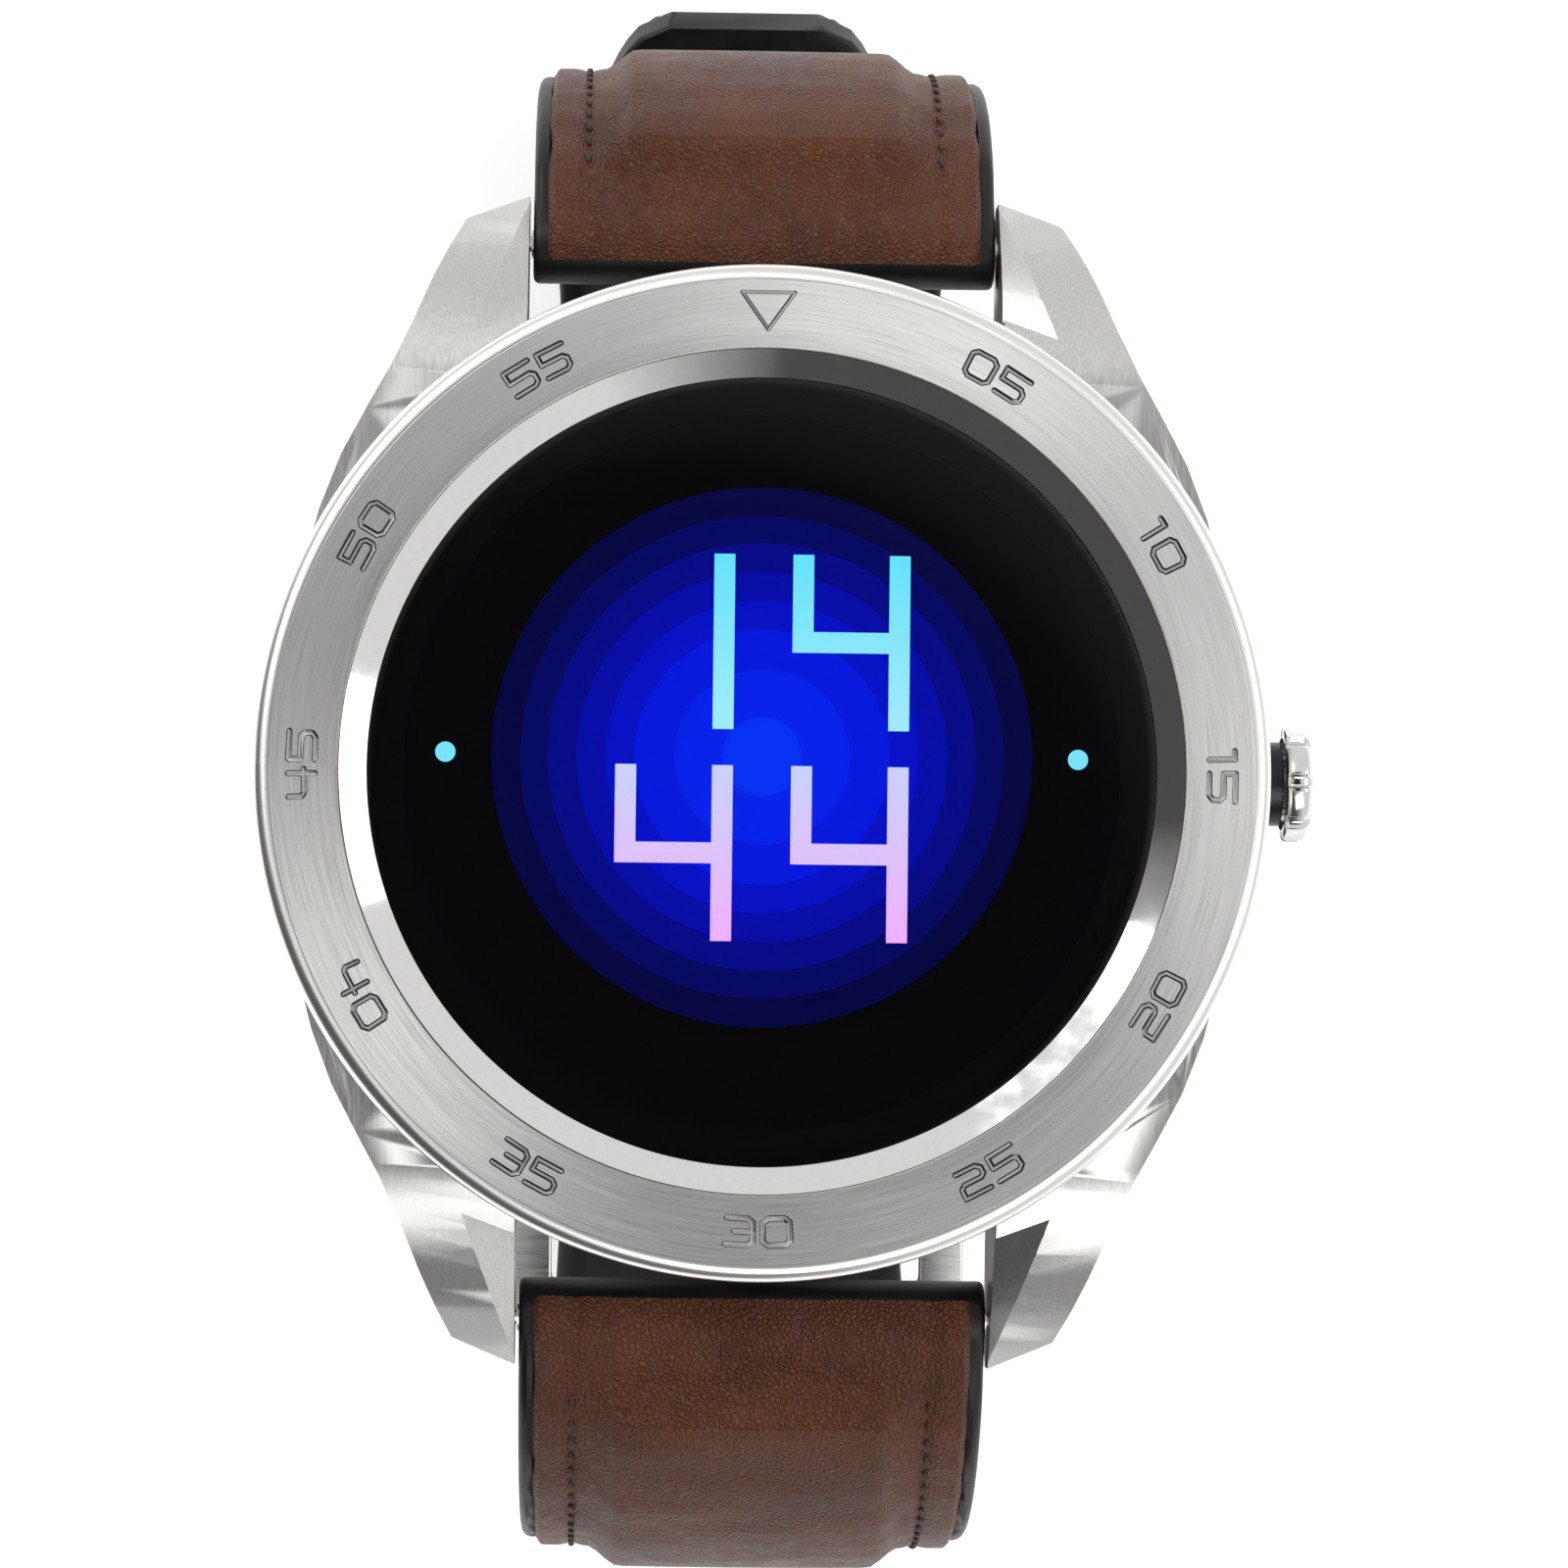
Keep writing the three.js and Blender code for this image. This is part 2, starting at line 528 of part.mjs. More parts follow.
// The line where leather meets rubber, seen from the crown side. `side` is 1 for the strap at
// 12 o'clock and -1 for 6 o'clock. Below zero the line wraps round the spring bar's boss.
class StrapRoute {
  constructor(side, bends) {
    this.side = side;
    this.bends = bends;
    this.length = bends.reduce((sum, [length]) => sum + length, 0);
  }

  // Place, heading and normal at a distance along the line.
  at(distance) {
    let heading = degrees(FIRST_HEADING);
    let y = BAR_Y + BOSS_RADIUS * Math.sin(heading);
    let z = BAR_Z + BOSS_RADIUS * Math.cos(heading);
    if (distance < 0) {
      heading += distance / BOSS_RADIUS;
      y = BAR_Y + BOSS_RADIUS * Math.sin(heading);
      z = BAR_Z + BOSS_RADIUS * Math.cos(heading);
      return { y, z, heading };
    }
    let left = distance;
    for (const [length, turn] of this.bends) {
      const here = Math.min(left, length);
      const bend = (degrees(turn) * here) / length;
      const chord = Math.abs(bend) < 1e-9 ? here : (2 * here * Math.sin(bend / 2)) / bend;
      y += chord * Math.cos(heading + bend / 2);
      z -= chord * Math.sin(heading + bend / 2);
      heading += bend;
      left -= here;
      if (left <= 0) break;
    }
    // past its end the line runs straight on
    y += left * Math.cos(heading);
    z -= left * Math.sin(heading);
    return { y, z, heading };
  }

  // A point `across` the strap and `out` from the line, as [x, y, z].
  point(distance, across, out) {
    const { y, z, heading } = this.at(distance);
    const outY = y + out * Math.sin(heading);
    return [across, this.side * outY, z + out * Math.cos(heading)];
  }

  // A group whose own Y runs along the strap and whose own Z points out of it.
  frame(distance) {
    const group = new THREE.Group();
    group.position.set(...this.point(distance, 0, 0));
    group.rotation.x = -this.side * this.at(distance).heading;
    watch.add(group);
    return group;
  }
}

// A solid swept along a route; `sectionAt` gives its outline as [across, out] points.
function swept(route, stations, sectionAt) {
  const outlines = stations.map(sectionAt);
  const count = outlines[0].length;
  const positions = [];
  stations.forEach((distance, i) => {
    for (const [across, out] of outlines[i]) positions.push(...route.point(distance, across, out));
  });
  const index = [];
  for (let i = 0; i + 1 < stations.length; i += 1) {
    for (let j = 0; j < count; j += 1) {
      const a = i * count + j;
      const b = i * count + ((j + 1) % count);
      index.push(a, b, b + count, a, b + count, a + count);
    }
  }
  const capAt = (i, flip) => {
    const outline = outlines[i].map(([across, out]) => new THREE.Vector2(across, out));
    for (const [a, b, c] of THREE.ShapeUtils.triangulateShape(outline, [])) {
      const corners = [a, b, c].map((corner) => corner + i * count);
      index.push(...(flip ? corners.reverse() : corners));
    }
  };
  capAt(0, true);
  capAt(stations.length - 1, false);
  const geometry = new THREE.BufferGeometry();
  geometry.setAttribute("position", new THREE.Float32BufferAttribute(positions, 3));
  geometry.setIndex(index);
  return geometry;
}

function spaced(start, end, count) {
  return Array.from({ length: count + 1 }, (_, i) => start + ((end - start) * i) / count);
}

const smooth = (x, low, high) => THREE.MathUtils.smoothstep(x, low, high);

function shortHalfWidth(distance) {
  const taper = smooth(distance, 6, 52);
  return (STRAP_WIDTH + (BUCKLE_END_WIDTH - STRAP_WIDTH) * taper) / 2;
}

function longHalfWidth(distance) {
  const length = longStrap.length;
  const half = (STRAP_WIDTH + (TAIL_WIDTH - STRAP_WIDTH) * smooth(distance, 6, 80)) / 2;
  const toEnd = Math.min(1, Math.max(0, length - distance) / TAIL_ROUNDING);
  return TAIL_END_HALF_WIDTH + (half - TAIL_END_HALF_WIDTH) * Math.sqrt(1 - (1 - toEnd) ** 2);
}

function paddingAt(distance, end) {
  const fade = 1 - smooth(distance, end - PADDING_FADE, end);
  return PADDING * smooth(distance, PADDING_START, PADDING_FULL) * fade;
}

function rubberSection(half) {
  const edge = 0.35;
  return [
    [-half + edge, -RUBBER], [half - edge, -RUBBER], [half, edge - RUBBER],
    [half, -edge], [half - edge, 0], [-half + edge, 0], [-half, -edge], [-half, edge - RUBBER],
  ];
}

function leatherSection(half, thickness, padding) {
  const low = SKIN_GAP;
  const padded = Math.min(PADDED_HALF_WIDTH, half - 1.6);
  const foot = padded + 1;
  const shoulder = padded - 0.6;
  const pocket = low + Math.max(0.04, padding);
  const raised = thickness + padding + 0.03;
  return [
    [-half, low], [-padded, low], [0.9 - padded, pocket],
    [padded - 0.9, pocket], [padded, low], [half, low],
    [half, thickness - 0.2], [foot, thickness], [shoulder, raised],
    [0, raised + 0.03 + 0.1 * (padding / PADDING)],
    [-shoulder, raised], [-foot, thickness], [-half, thickness - 0.2],
  ];
}

function paddingSection(padding) {
  const half = PADDED_HALF_WIDTH - 1;
  const low = SKIN_GAP + FIT;
  const high = Math.max(low + 0.12, padding - 0.04);
  return [[-half, low], [half, low], [half - 0.4, high], [0.4 - half, high]];
}

// A boss of the given radius round a bar at the start of the strap, bored for the bar.
function bossAt(y, z, halfWidth) {
  return alongX(disc(BOSS_RADIUS, -halfWidth, halfWidth, 24), y, z);
}

const BAR_BORE_IN_STRAP = BAR_RADIUS + 0.1;

function boreAt(y, z) {
  return alongX(disc(BAR_BORE_IN_STRAP, -14, 14, SMALL), y, z);
}

const shortStrap = new StrapRoute(1, SHORT_BENDS);
const longStrap = new StrapRoute(-1, LONG_BENDS);
const LEATHER_START = -BOSS_RADIUS * degrees(FIRST_HEADING + 25);
const WRAP = spaced(LEATHER_START, 0, 4);
const ROLL = [0.01, 1.6, PADDING_START, 3.8, PADDING_FULL, 7, 9.5, 12];
const HOLE_COUNT = 7;
const HOLE_SPACING = 6;
const LAST_HOLE = 22; // from the tail's end

function makeLeather(name, route, halfWidth, paddingEnd, end, stations, cut = []) {
  const lengths = [...WRAP, ...ROLL, ...stations];
  const geometry = swept(route, lengths, (distance) => {
    const thickness = 0.6 + (LEATHER - 0.6) * smooth(distance, 0, 5);
    const half = halfWidth(Math.min(distance, end)) - LEATHER_INSET;
    return leatherSection(half, thickness, paddingAt(distance, paddingEnd));
  });
  add(`${name}_leather`, combine(geometry, { cut }), STRAP_LEATHER);
  const inside = spaced(PADDING_FULL + 0.9, paddingEnd - 2.4, Math.round(paddingEnd / 4));
  const padding = swept(route, inside, (distance) => paddingSection(paddingAt(distance, paddingEnd)));
  add(`${name}_padding`, padding, FOAM);
}

const BUCKLE_BAR_AHEAD = 2.2; // the buckle's bar lies this far past the strap's straight end
const BUCKLE_BAR_OUT = -1.05;

function buckleBarPlace() {
  const { heading } = shortStrap.at(shortStrap.length);
  const [, y, z] = shortStrap.point(shortStrap.length, 0, BUCKLE_BAR_OUT);
  return [y + BUCKLE_BAR_AHEAD * Math.cos(heading), z - BUCKLE_BAR_AHEAD * Math.sin(heading)];
}

function makeShortStrap() {
  const [barY, barZ] = buckleBarPlace();
  const end = shortStrap.length;
  const stations = [...spaced(0, 46.4, 18), ...spaced(48, end + 1, 6)];
  const rubber = swept(shortStrap, stations, (distance) => rubberSection(shortHalfWidth(distance)));
  const half = BUCKLE_END_WIDTH / 2;
  const tongueSlot = 1.5;
  add("strap_12_rubber", combine(rubber, {
    add: [bossAt(BAR_Y, BAR_Z, STRAP_WIDTH / 2), bossAt(barY, barZ, half)],
    cut: [
      boreAt(BAR_Y, BAR_Z), boreAt(barY, barZ),
      box(-tongueSlot, tongueSlot, barY - 3, barY + 2.6, barZ - 4, barZ + 4),
    ],
  }), STRAP_RUBBER);
  const leatherEnd = end - 3;
  const leatherStations = [...spaced(14, 46.4, 12), ...spaced(49, leatherEnd, 4)];
  makeLeather("strap_12", shortStrap, shortHalfWidth, 44, leatherEnd, leatherStations);
}

function holeCutters() {
  return Array.from({ length: HOLE_COUNT }, (_, i) => {
    const distance = longStrap.length - LAST_HOLE - i * HOLE_SPACING;
    const { heading } = longStrap.at(distance);
    const [, y, z] = longStrap.point(distance, 0, 0);
    return disc(1.1, -5, 5, 10).rotateX(heading).translate(0, y, z);
  });
}

function makeLongStrap() {
  const end = longStrap.length;
  const tail = end - TAIL_ROUNDING;
  const rounded = [0.06, 0.18, 0.36, 0.58, 0.8, 1].map((part) => tail + TAIL_ROUNDING * part);
  const stations = [...spaced(0, 69.4, 24), ...spaced(72, 99.4, 4), ...spaced(102, tail, 6), ...rounded];
  const rubber = swept(longStrap, stations, (distance) => rubberSection(longHalfWidth(distance)));
  const cut = holeCutters();
  add("strap_6_rubber", combine(rubber, {
    add: [bossAt(-BAR_Y, BAR_Z, STRAP_WIDTH / 2)],
    cut: [boreAt(-BAR_Y, BAR_Z), ...cut],
  }), STRAP_RUBBER);
  const leatherEnd = end - LEATHER_INSET;
  const leatherRounded = [0.06, 0.2, 0.4, 0.62, 0.82].map((part) => tail + TAIL_ROUNDING * part);
  const leatherStations = [
    ...spaced(14, 69.4, 18), ...spaced(72, 99.4, 4), ...spaced(102, tail, 5),
    ...leatherRounded, leatherEnd,
  ];
  makeLeather("strap_6", longStrap, longHalfWidth, 66, leatherEnd, leatherStations, cut);
}

// A loop round the strap with room above it for the tail.
function makeKeeper(name, distance, length) {
  const wall = 1.1;
  const halfX = shortHalfWidth(distance) + 0.35;
  const low = -RUBBER - 0.2;
  const high = LEATHER + 3.3;
  const middle = (low + high) / 2;
  const halfZ = (high - low) / 2;
  const outline = roundedRectangle(halfX + wall, halfZ + wall, 1.6);
  outline.holes.push(roundedRectangle(halfX, halfZ, 0.6, THREE.Path));
  const loop = extruded(outline, -length / 2, length / 2)
    .rotateX(Math.PI / 2)
    .translate(0, 0, middle);
  add(name, loop, STRAP_RUBBER, shortStrap.frame(distance));
}

// ---- buckle -------------------------------------------------------------------------------

const BUCKLE_INNER_HALF = 9.6;
const BUCKLE_OUTER_HALF = 11.8;
const BUCKLE_LENGTH = 12.4;
const BUCKLE_THICKNESS = 2.2;

// Makes the buckle in a frame whose own origin is on the bar.
function makeBuckle() {
  const [barY, barZ] = buckleBarPlace();
  const frame = new THREE.Group();
  frame.position.set(0, barY, barZ);
  frame.rotation.x = -shortStrap.at(shortStrap.length).heading;
  watch.add(frame);
  const half = BUCKLE_THICKNESS / 2;
  const outline = new THREE.Shape();
  const corner = 2.4;
  const inner = BUCKLE_INNER_HALF;
  const outer = BUCKLE_OUTER_HALF;
  const innerLength = BUCKLE_LENGTH - 2.6;
  outline.moveTo(-outer, -1.6);
  outline.lineTo(-inner, -1.6);
  outline.lineTo(-inner, innerLength);
  outline.lineTo(inner, innerLength);
  outline.lineTo(inner, -1.6);
  outline.lineTo(outer, -1.6);
  outline.lineTo(outer, BUCKLE_LENGTH - corner);
  outline.absarc(outer - corner, BUCKLE_LENGTH - corner, corner, 0, Math.PI / 2, false);
  outline.absarc(corner - outer, BUCKLE_LENGTH - corner, corner, Math.PI / 2, Math.PI, false);
  const barHole = alongX(disc(BAR_RADIUS + 0.05, -11.2, 11.2, SMALL));
  add("buckle_frame", combine(extruded(outline, -half, half), { cut: [barHole] }), STEEL, frame);
  add("buckle_bar", alongX(disc(BAR_RADIUS, -11.1, 11.1, SMALL)), SPRING_STEEL, frame);
  const eye = alongX(disc(1.5, -1.1, 1.1, 20));
  const arm = sideExtruded([
    [0, -0.6], [1.6, -0.6], [9, half + 0.1], [BUCKLE_LENGTH + 0.2, half + 0.1],
    [BUCKLE_LENGTH + 0.2, half + 0.7], [BUCKLE_LENGTH - 0.8, half + 1.2], [8.6, half + 1.3], [0.6, 1.2],
  ], -1, 1);
  const eyeHole = alongX(disc(BAR_RADIUS + TURNING_FIT, -2, 2, SMALL));
  add("buckle_tongue", combine(eye, { add: [arm], cut: [eyeHole] }), STEEL, frame);
}

// ---- the watch ----------------------------------------------------------------------------

makeCaseMiddle();
makeBezel();
makeGlassAndDisplay();
makeMidframe();
makeElectronics();
makeBack();
makeCrown();
makeSpringBar(12, BAR_Y);
makeSpringBar(6, -BAR_Y);
makeShortStrap();
makeLongStrap();
makeKeeper("sliding_keeper", 52, 5);
makeKeeper("fixed_keeper", 67, 4);
makeBuckle();

export default watch;
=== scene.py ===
"""Looks for the smartwatch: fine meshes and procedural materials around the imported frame."""
import math
import random

import bmesh
import bpy
from mathutils import Matrix, Vector


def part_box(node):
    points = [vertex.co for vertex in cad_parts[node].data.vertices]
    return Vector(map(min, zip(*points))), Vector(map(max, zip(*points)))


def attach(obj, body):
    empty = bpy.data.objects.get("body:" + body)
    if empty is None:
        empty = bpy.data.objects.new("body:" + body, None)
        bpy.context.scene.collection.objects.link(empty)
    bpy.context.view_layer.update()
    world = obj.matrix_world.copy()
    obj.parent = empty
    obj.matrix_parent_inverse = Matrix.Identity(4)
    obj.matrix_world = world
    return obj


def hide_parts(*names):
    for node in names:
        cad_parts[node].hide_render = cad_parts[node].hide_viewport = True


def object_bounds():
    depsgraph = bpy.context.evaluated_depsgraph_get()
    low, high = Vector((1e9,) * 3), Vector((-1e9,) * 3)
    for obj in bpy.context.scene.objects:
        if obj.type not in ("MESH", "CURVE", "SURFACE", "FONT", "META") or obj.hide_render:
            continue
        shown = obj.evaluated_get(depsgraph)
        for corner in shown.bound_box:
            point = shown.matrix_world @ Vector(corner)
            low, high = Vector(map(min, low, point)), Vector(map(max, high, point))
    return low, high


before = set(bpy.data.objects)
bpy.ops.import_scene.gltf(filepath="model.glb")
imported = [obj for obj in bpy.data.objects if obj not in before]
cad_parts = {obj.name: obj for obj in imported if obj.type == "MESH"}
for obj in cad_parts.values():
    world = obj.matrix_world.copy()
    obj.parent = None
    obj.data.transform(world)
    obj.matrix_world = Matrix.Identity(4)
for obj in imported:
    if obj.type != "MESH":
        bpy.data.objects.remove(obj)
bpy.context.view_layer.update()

# ---- driving dimensions, in millimetres -------------------------------------------------------

MM = 0.001
ROUND = 256  # sides of a large turned part


def level(node, top):
    """Lowest or highest Z of a CAD node."""
    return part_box(node)[1 if top else 0].z / MM


def outer_radius(node):
    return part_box(node)[1].y / MM


BEZEL_RADIUS = outer_radius("bezel_ring")
BEZEL_TOP = level("bezel_ring", True)
BEZEL_BOTTOM = level("bezel_ring", False)
BEZEL_FLAT_RADIUS = 22.4
BEZEL_HOLE_RADIUS = 19.2
BEZEL_FALL = 0.12  # how much lower the flat's outer edge lies
GLASS_EDGE_RADIUS = 17.95
GLASS_TOP = level("cover_glass", True)
GLASS_BOTTOM = level("cover_glass", False)
GLASS_RADIUS = outer_radius("cover_glass")
PANEL_TOP = level("display_panel", True)
PANEL_BOTTOM = level("display_panel", False)
PANEL_RADIUS = outer_radius("display_panel")
CASE_TOP = level("case_middle", True)
CASE_RADIUS = 22.95
CASE_BOTTOM = 1.7
CAVITY_RADIUS = 18.9
BACK_RADIUS = outer_radius("case_back")
BACK_FACE = level("case_back", False)
BACK_TOP = level("case_back", True)
WINDOW_RADIUS = outer_radius("sensor_window")
SCREW_CIRCLE_RADIUS = 19.95
LUG_GAP = 22
LUG_TIP = 27.3
BAR_Y = 25.1
BAR_Z = 3.2
GAP_WALL = 22.4
CROWN_Z = 6
CROWN_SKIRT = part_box("crown_head")[0].x / MM
CROWN_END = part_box("crown_head")[1].x / MM
CROWN_RADIUS = 2.68
BOSS_RADIUS = 1.85
STRAP_WIDTH = 21.6
BUCKLE_END_WIDTH = 18.4
TAIL_WIDTH = 18
RUBBER = 2.1
LEATHER = 0.9
LEATHER_INSET = 0.7
SKIN_GAP = 0.12
PADDING = 0.95  # with a steeper rise than the CAD solid, inside its 1.05
PADDING_START = 2.4
PADDING_FULL = 3.6
PADDED_HALF_WIDTH = 6.6
FIRST_HEADING = 25
SHORT_BENDS = [(16.6, 65), (28, 85), (30, 2)]
LONG_BENDS = [(19.5, 65), (22, 12), (29, 78), (28, 0), (31, 36)]
TAIL_ROUNDING = 14
TAIL_END_HALF_WIDTH = 4.3
HOLE_COUNT = 7
HOLE_SPACING = 6
LAST_HOLE = 22
BUCKLE_BAR_AHEAD = 2.2
BUCKLE_BAR_OUT = -1.05


# ---- node materials ---------------------------------------------------------------------------

class Nodes:
    """A node-based material, built with short calls."""

    def __init__(self, name):
        self.material = bpy.data.materials.new(name)
        self.material.use_nodes = True
        self.tree = self.material.node_tree
        self.shader = self.tree.nodes["Principled BSDF"]
        self.coords = self.add("ShaderNodeTexCoord").outputs["Object"]

    def add(self, kind, inputs=(), **settings):
        node = self.tree.nodes.new(kind)
        for key, value in settings.items():
            setattr(node, key, value)
        for key, value in dict(inputs).items():
            if isinstance(value, bpy.types.NodeSocket):
                self.tree.links.new(value, node.inputs[key])
            else:
                node.inputs[key].default_value = value
        return node

    def set(self, **values):
        for key, value in values.items():
            self.shader.inputs[key.replace("_", " ")].default_value = value
        return self

    def link(self, name, socket):
        self.tree.links.new(socket, self.shader.inputs[name])
        return self

    def maths(self, operation, first, second=0.0):
        return self.add("ShaderNodeMath", {0: first, 1: second}, operation=operation).outputs[0]

    def scaled(self, x, y, z, vector=None):
        """Object coordinates in millimetres, stretched by x, y and z."""
        inputs = {"Vector": vector or self.coords, "Scale": (1000 * x, 1000 * y, 1000 * z)}
        return self.add("ShaderNodeMapping", inputs).outputs[0]

    def noise(self, vector, scale=1.0, detail=3.0, roughness=0.5):
        inputs = {"Vector": vector, "Scale": scale, "Detail": detail, "Roughness": roughness}
        return self.add("ShaderNodeTexNoise", inputs).outputs[0]

    def ramp(self, socket, stops, interpolation="LINEAR"):
        """`stops` are (position, grey) or (position, (r, g, b))."""
        node = self.add("ShaderNodeValToRGB", {"Fac": socket})
        node.color_ramp.interpolation = interpolation
        elements = node.color_ramp.elements
        while len(elements) < len(stops):
            elements.new(0.5)
        for element, (position, colour) in zip(elements, stops):
            element.position = position
            rgb = colour if isinstance(colour, tuple) else (colour,) * 3
            element.color = (*rgb, 1)
        return node.outputs[0]

    def mix(self, factor, first, second, blend="MIX"):
        node = self.add("ShaderNodeMix", data_type="RGBA", blend_type=blend)
        for index, value in ((0, factor), (6, first), (7, second)):
            if isinstance(value, bpy.types.NodeSocket):
                self.tree.links.new(value, node.inputs[index])
            else:
                node.inputs[index].default_value = (*value, 1) if isinstance(value, tuple) else value
        return node.outputs[2]

    def bump(self, height, distance_mm, strength=1.0, normal=None):
        inputs = {"Height": height, "Distance": distance_mm * MM, "Strength": strength}
        if normal:
            inputs["Normal"] = normal
        return self.add("ShaderNodeBump", inputs).outputs[0]

    def polar(self):
        """Radius in millimetres and angle about Z, with the height kept."""
        parts = self.add("ShaderNodeSeparateXYZ", {0: self.scaled(1, 1, 1)}).outputs
        square = self.maths("ADD", self.maths("MULTIPLY", parts[0], parts[0]),
                            self.maths("MULTIPLY", parts[1], parts[1]))
        radius = self.maths("SQRT", square)
        angle = self.maths("ARCTAN2", parts[1], parts[0])
        return radius, angle, parts[2]


def circular_brushed():
    n = Nodes("circular_brushed_steel")
    radius, angle, height = n.polar()
    lines = n.add("ShaderNodeCombineXYZ", {0: n.maths("MULTIPLY", radius, 38.0),
                                           1: n.maths("MULTIPLY", angle, 5.0), 2: height})
    scratches = n.noise(lines.outputs[0], 1.0, 2.0)
    tint = n.ramp(scratches, [(0.3, 0.0), (0.7, 1.0)])
    n.link("Base Color", n.mix(tint, (0.70, 0.685, 0.665), (0.78, 0.765, 0.745)))
    n.link("Roughness", n.ramp(scratches, [(0.25, 0.25), (0.75, 0.33)]))
    n.link("Normal", n.bump(scratches, 0.003, 0.2))
    n.link("Tangent", n.add("ShaderNodeTangent", direction_type="RADIAL", axis="Z").outputs[0])
    n.set(Metallic=1.0, Anisotropic=0.8)
    return n.material


def line_brushed(name, stretch, base=(0.62, 0.61, 0.59), roughness=(0.26, 0.36)):
    n = Nodes(name)
    scratches = n.noise(n.scaled(*stretch), 1.0, 3.0)
    clouds = n.noise(n.scaled(0.12, 0.12, 0.12), 1.0, 2.0)
    bright = tuple(min(1.0, c * 1.25) for c in base)
    colour = n.mix(n.ramp(scratches, [(0.3, 0.0), (0.7, 1.0)]), base, bright)
    n.link("Base Color", n.mix(n.ramp(clouds, [(0.4, 0.0), (0.7, 0.2)]), colour,
                               tuple(c * 0.65 for c in base)))
    n.link("Roughness", n.ramp(scratches, [(0.25, roughness[0]), (0.75, roughness[1])]))
    n.link("Normal", n.bump(scratches, 0.003, 0.3))
    n.set(Metallic=1.0)
    return n.material


def polished(name, base=(0.70, 0.69, 0.68), low=0.05, high=0.12):
    n = Nodes(name)
    smears = n.noise(n.scaled(0.8, 0.8, 0.8), 1.0, 4.0)
    n.link("Roughness", n.ramp(smears, [(0.35, low), (0.7, high)]))
    edge = n.noise(n.scaled(3, 3, 3), 1.0, 2.0)
    n.link("Base Color", n.mix(n.ramp(edge, [(0.3, 0.0), (0.8, 0.5)]), base, tuple(c * 0.9 for c in base)))
    n.link("Normal", n.bump(smears, 0.003, 0.3))
    n.set(Metallic=1.0)
    return n.material


def clear_glass(name, tint=(1.0, 1.0, 1.0)):
    n = Nodes(name)
    smears = n.noise(n.scaled(0.15, 0.15, 0.15), 1.0, 4.0)
    n.link("Roughness", n.ramp(smears, [(0.45, 0.0), (0.8, 0.02)]))
    colour = n.mix(n.ramp(smears, [(0.3, 0.0), (0.9, 0.1)]), tint, tuple(c * 0.97 for c in tint))
    n.link("Base Color", colour)
    n.set(Transmission_Weight=1.0, IOR=1.45)
    return n.material


def leather():
    n = Nodes("brown_leather")
    cells = n.add("ShaderNodeTexVoronoi",
                  {"Vector": n.scaled(4.0, 4.0, 4.0), "Scale": 1.0, "Randomness": 1.0},
                  feature="DISTANCE_TO_EDGE")
    pebbles = n.ramp(cells.outputs["Distance"], [(0.0, 0.0), (0.30, 1.0)])
    fine = n.noise(n.scaled(7, 7, 7), 1.0, 4.0, 0.6)
    creases_and_painted_highlight = n.noise(n.scaled(0.9, 0.9, 0.9), 1.0, 5.0, 0.65)
    tone = n.noise(n.scaled(0.16, 0.16, 0.16), 1.0, 4.0, 0.6)
    colour = n.mix(n.ramp(tone, [(0.3, 0.0), (0.7, 1.0)]), (0.060, 0.0155, 0.0045), (0.108, 0.031, 0.010))
    # Painted highlight: a lighter brown laid over the leather where the crease noise is high; the same noise
    # also drives roughness and the crease bumps
    colour = n.mix(n.ramp(creases_and_painted_highlight, [(0.5, 0.0), (0.8, 0.5)]), colour, (0.165, 0.058, 0.024))
    gaps = n.ramp(cells.outputs["Distance"], [(0.0, 0.6), (0.12, 0.0)])
    n.link("Base Color", n.mix(gaps, colour, (0.030, 0.009, 0.005)))
    n.link("Roughness", n.ramp(creases_and_painted_highlight, [(0.3, 0.36), (0.7, 0.52)]))
    normal = n.bump(pebbles, 0.07, 0.9)
    normal = n.bump(fine, 0.03, 0.6, normal)
    n.link("Normal", n.bump(creases_and_painted_highlight, 0.14, 0.7, normal))
    n.set(Specular_IOR_Level=0.28)
    return n.material


def rubber(name, dark=(0.003, 0.003, 0.003), light=(0.009, 0.009, 0.009), roughness=(0.36, 0.5)):
    n = Nodes(name)
    grain = n.noise(n.scaled(7, 7, 7), 1.0, 3.0)
    dust = n.noise(n.scaled(0.3, 0.3, 0.3), 1.0, 5.0, 0.65)
    n.link("Base Color", n.mix(n.ramp(dust, [(0.4, 0.0), (0.75, 1.0)]), dark, light))
    n.link("Roughness", n.ramp(dust, [(0.3, roughness[0]), (0.7, roughness[1])]))
    n.link("Normal", n.bump(grain, 0.012, 0.35))
    n.set(Specular_IOR_Level=0.3)
    return n.material


def thread():
    n = Nodes("stitch_thread")
    twist = n.add("ShaderNodeTexWave", {"Vector": n.scaled(1, 1, 1), "Scale": 1.6, "Distortion": 0.8},
                  bands_direction="DIAGONAL")
    n.link("Base Color", n.mix(twist.outputs["Fac"], (0.012, 0.006, 0.005), (0.035, 0.017, 0.013)))
    n.link("Roughness", n.ramp(twist.outputs["Fac"], [(0.0, 0.55), (1.0, 0.8)]))
    n.link("Normal", n.bump(twist.outputs["Fac"], 0.02, 0.6))
    return n.material


def plastic(name, colour, roughness=0.5, variation=0.15):
    n = Nodes(name)
    grain = n.noise(n.scaled(4, 4, 4), 1.0, 3.0)
    lighter = tuple(min(1.0, c * (1 + variation) + 0.004) for c in colour)
    n.link("Base Color", n.mix(grain, colour, lighter))
    n.link("Roughness", n.ramp(grain, [(0.3, max(0.02, roughness - 0.06)), (0.7, roughness + 0.06)]))
    n.link("Normal", n.bump(grain, 0.006, 0.3))
    return n.material


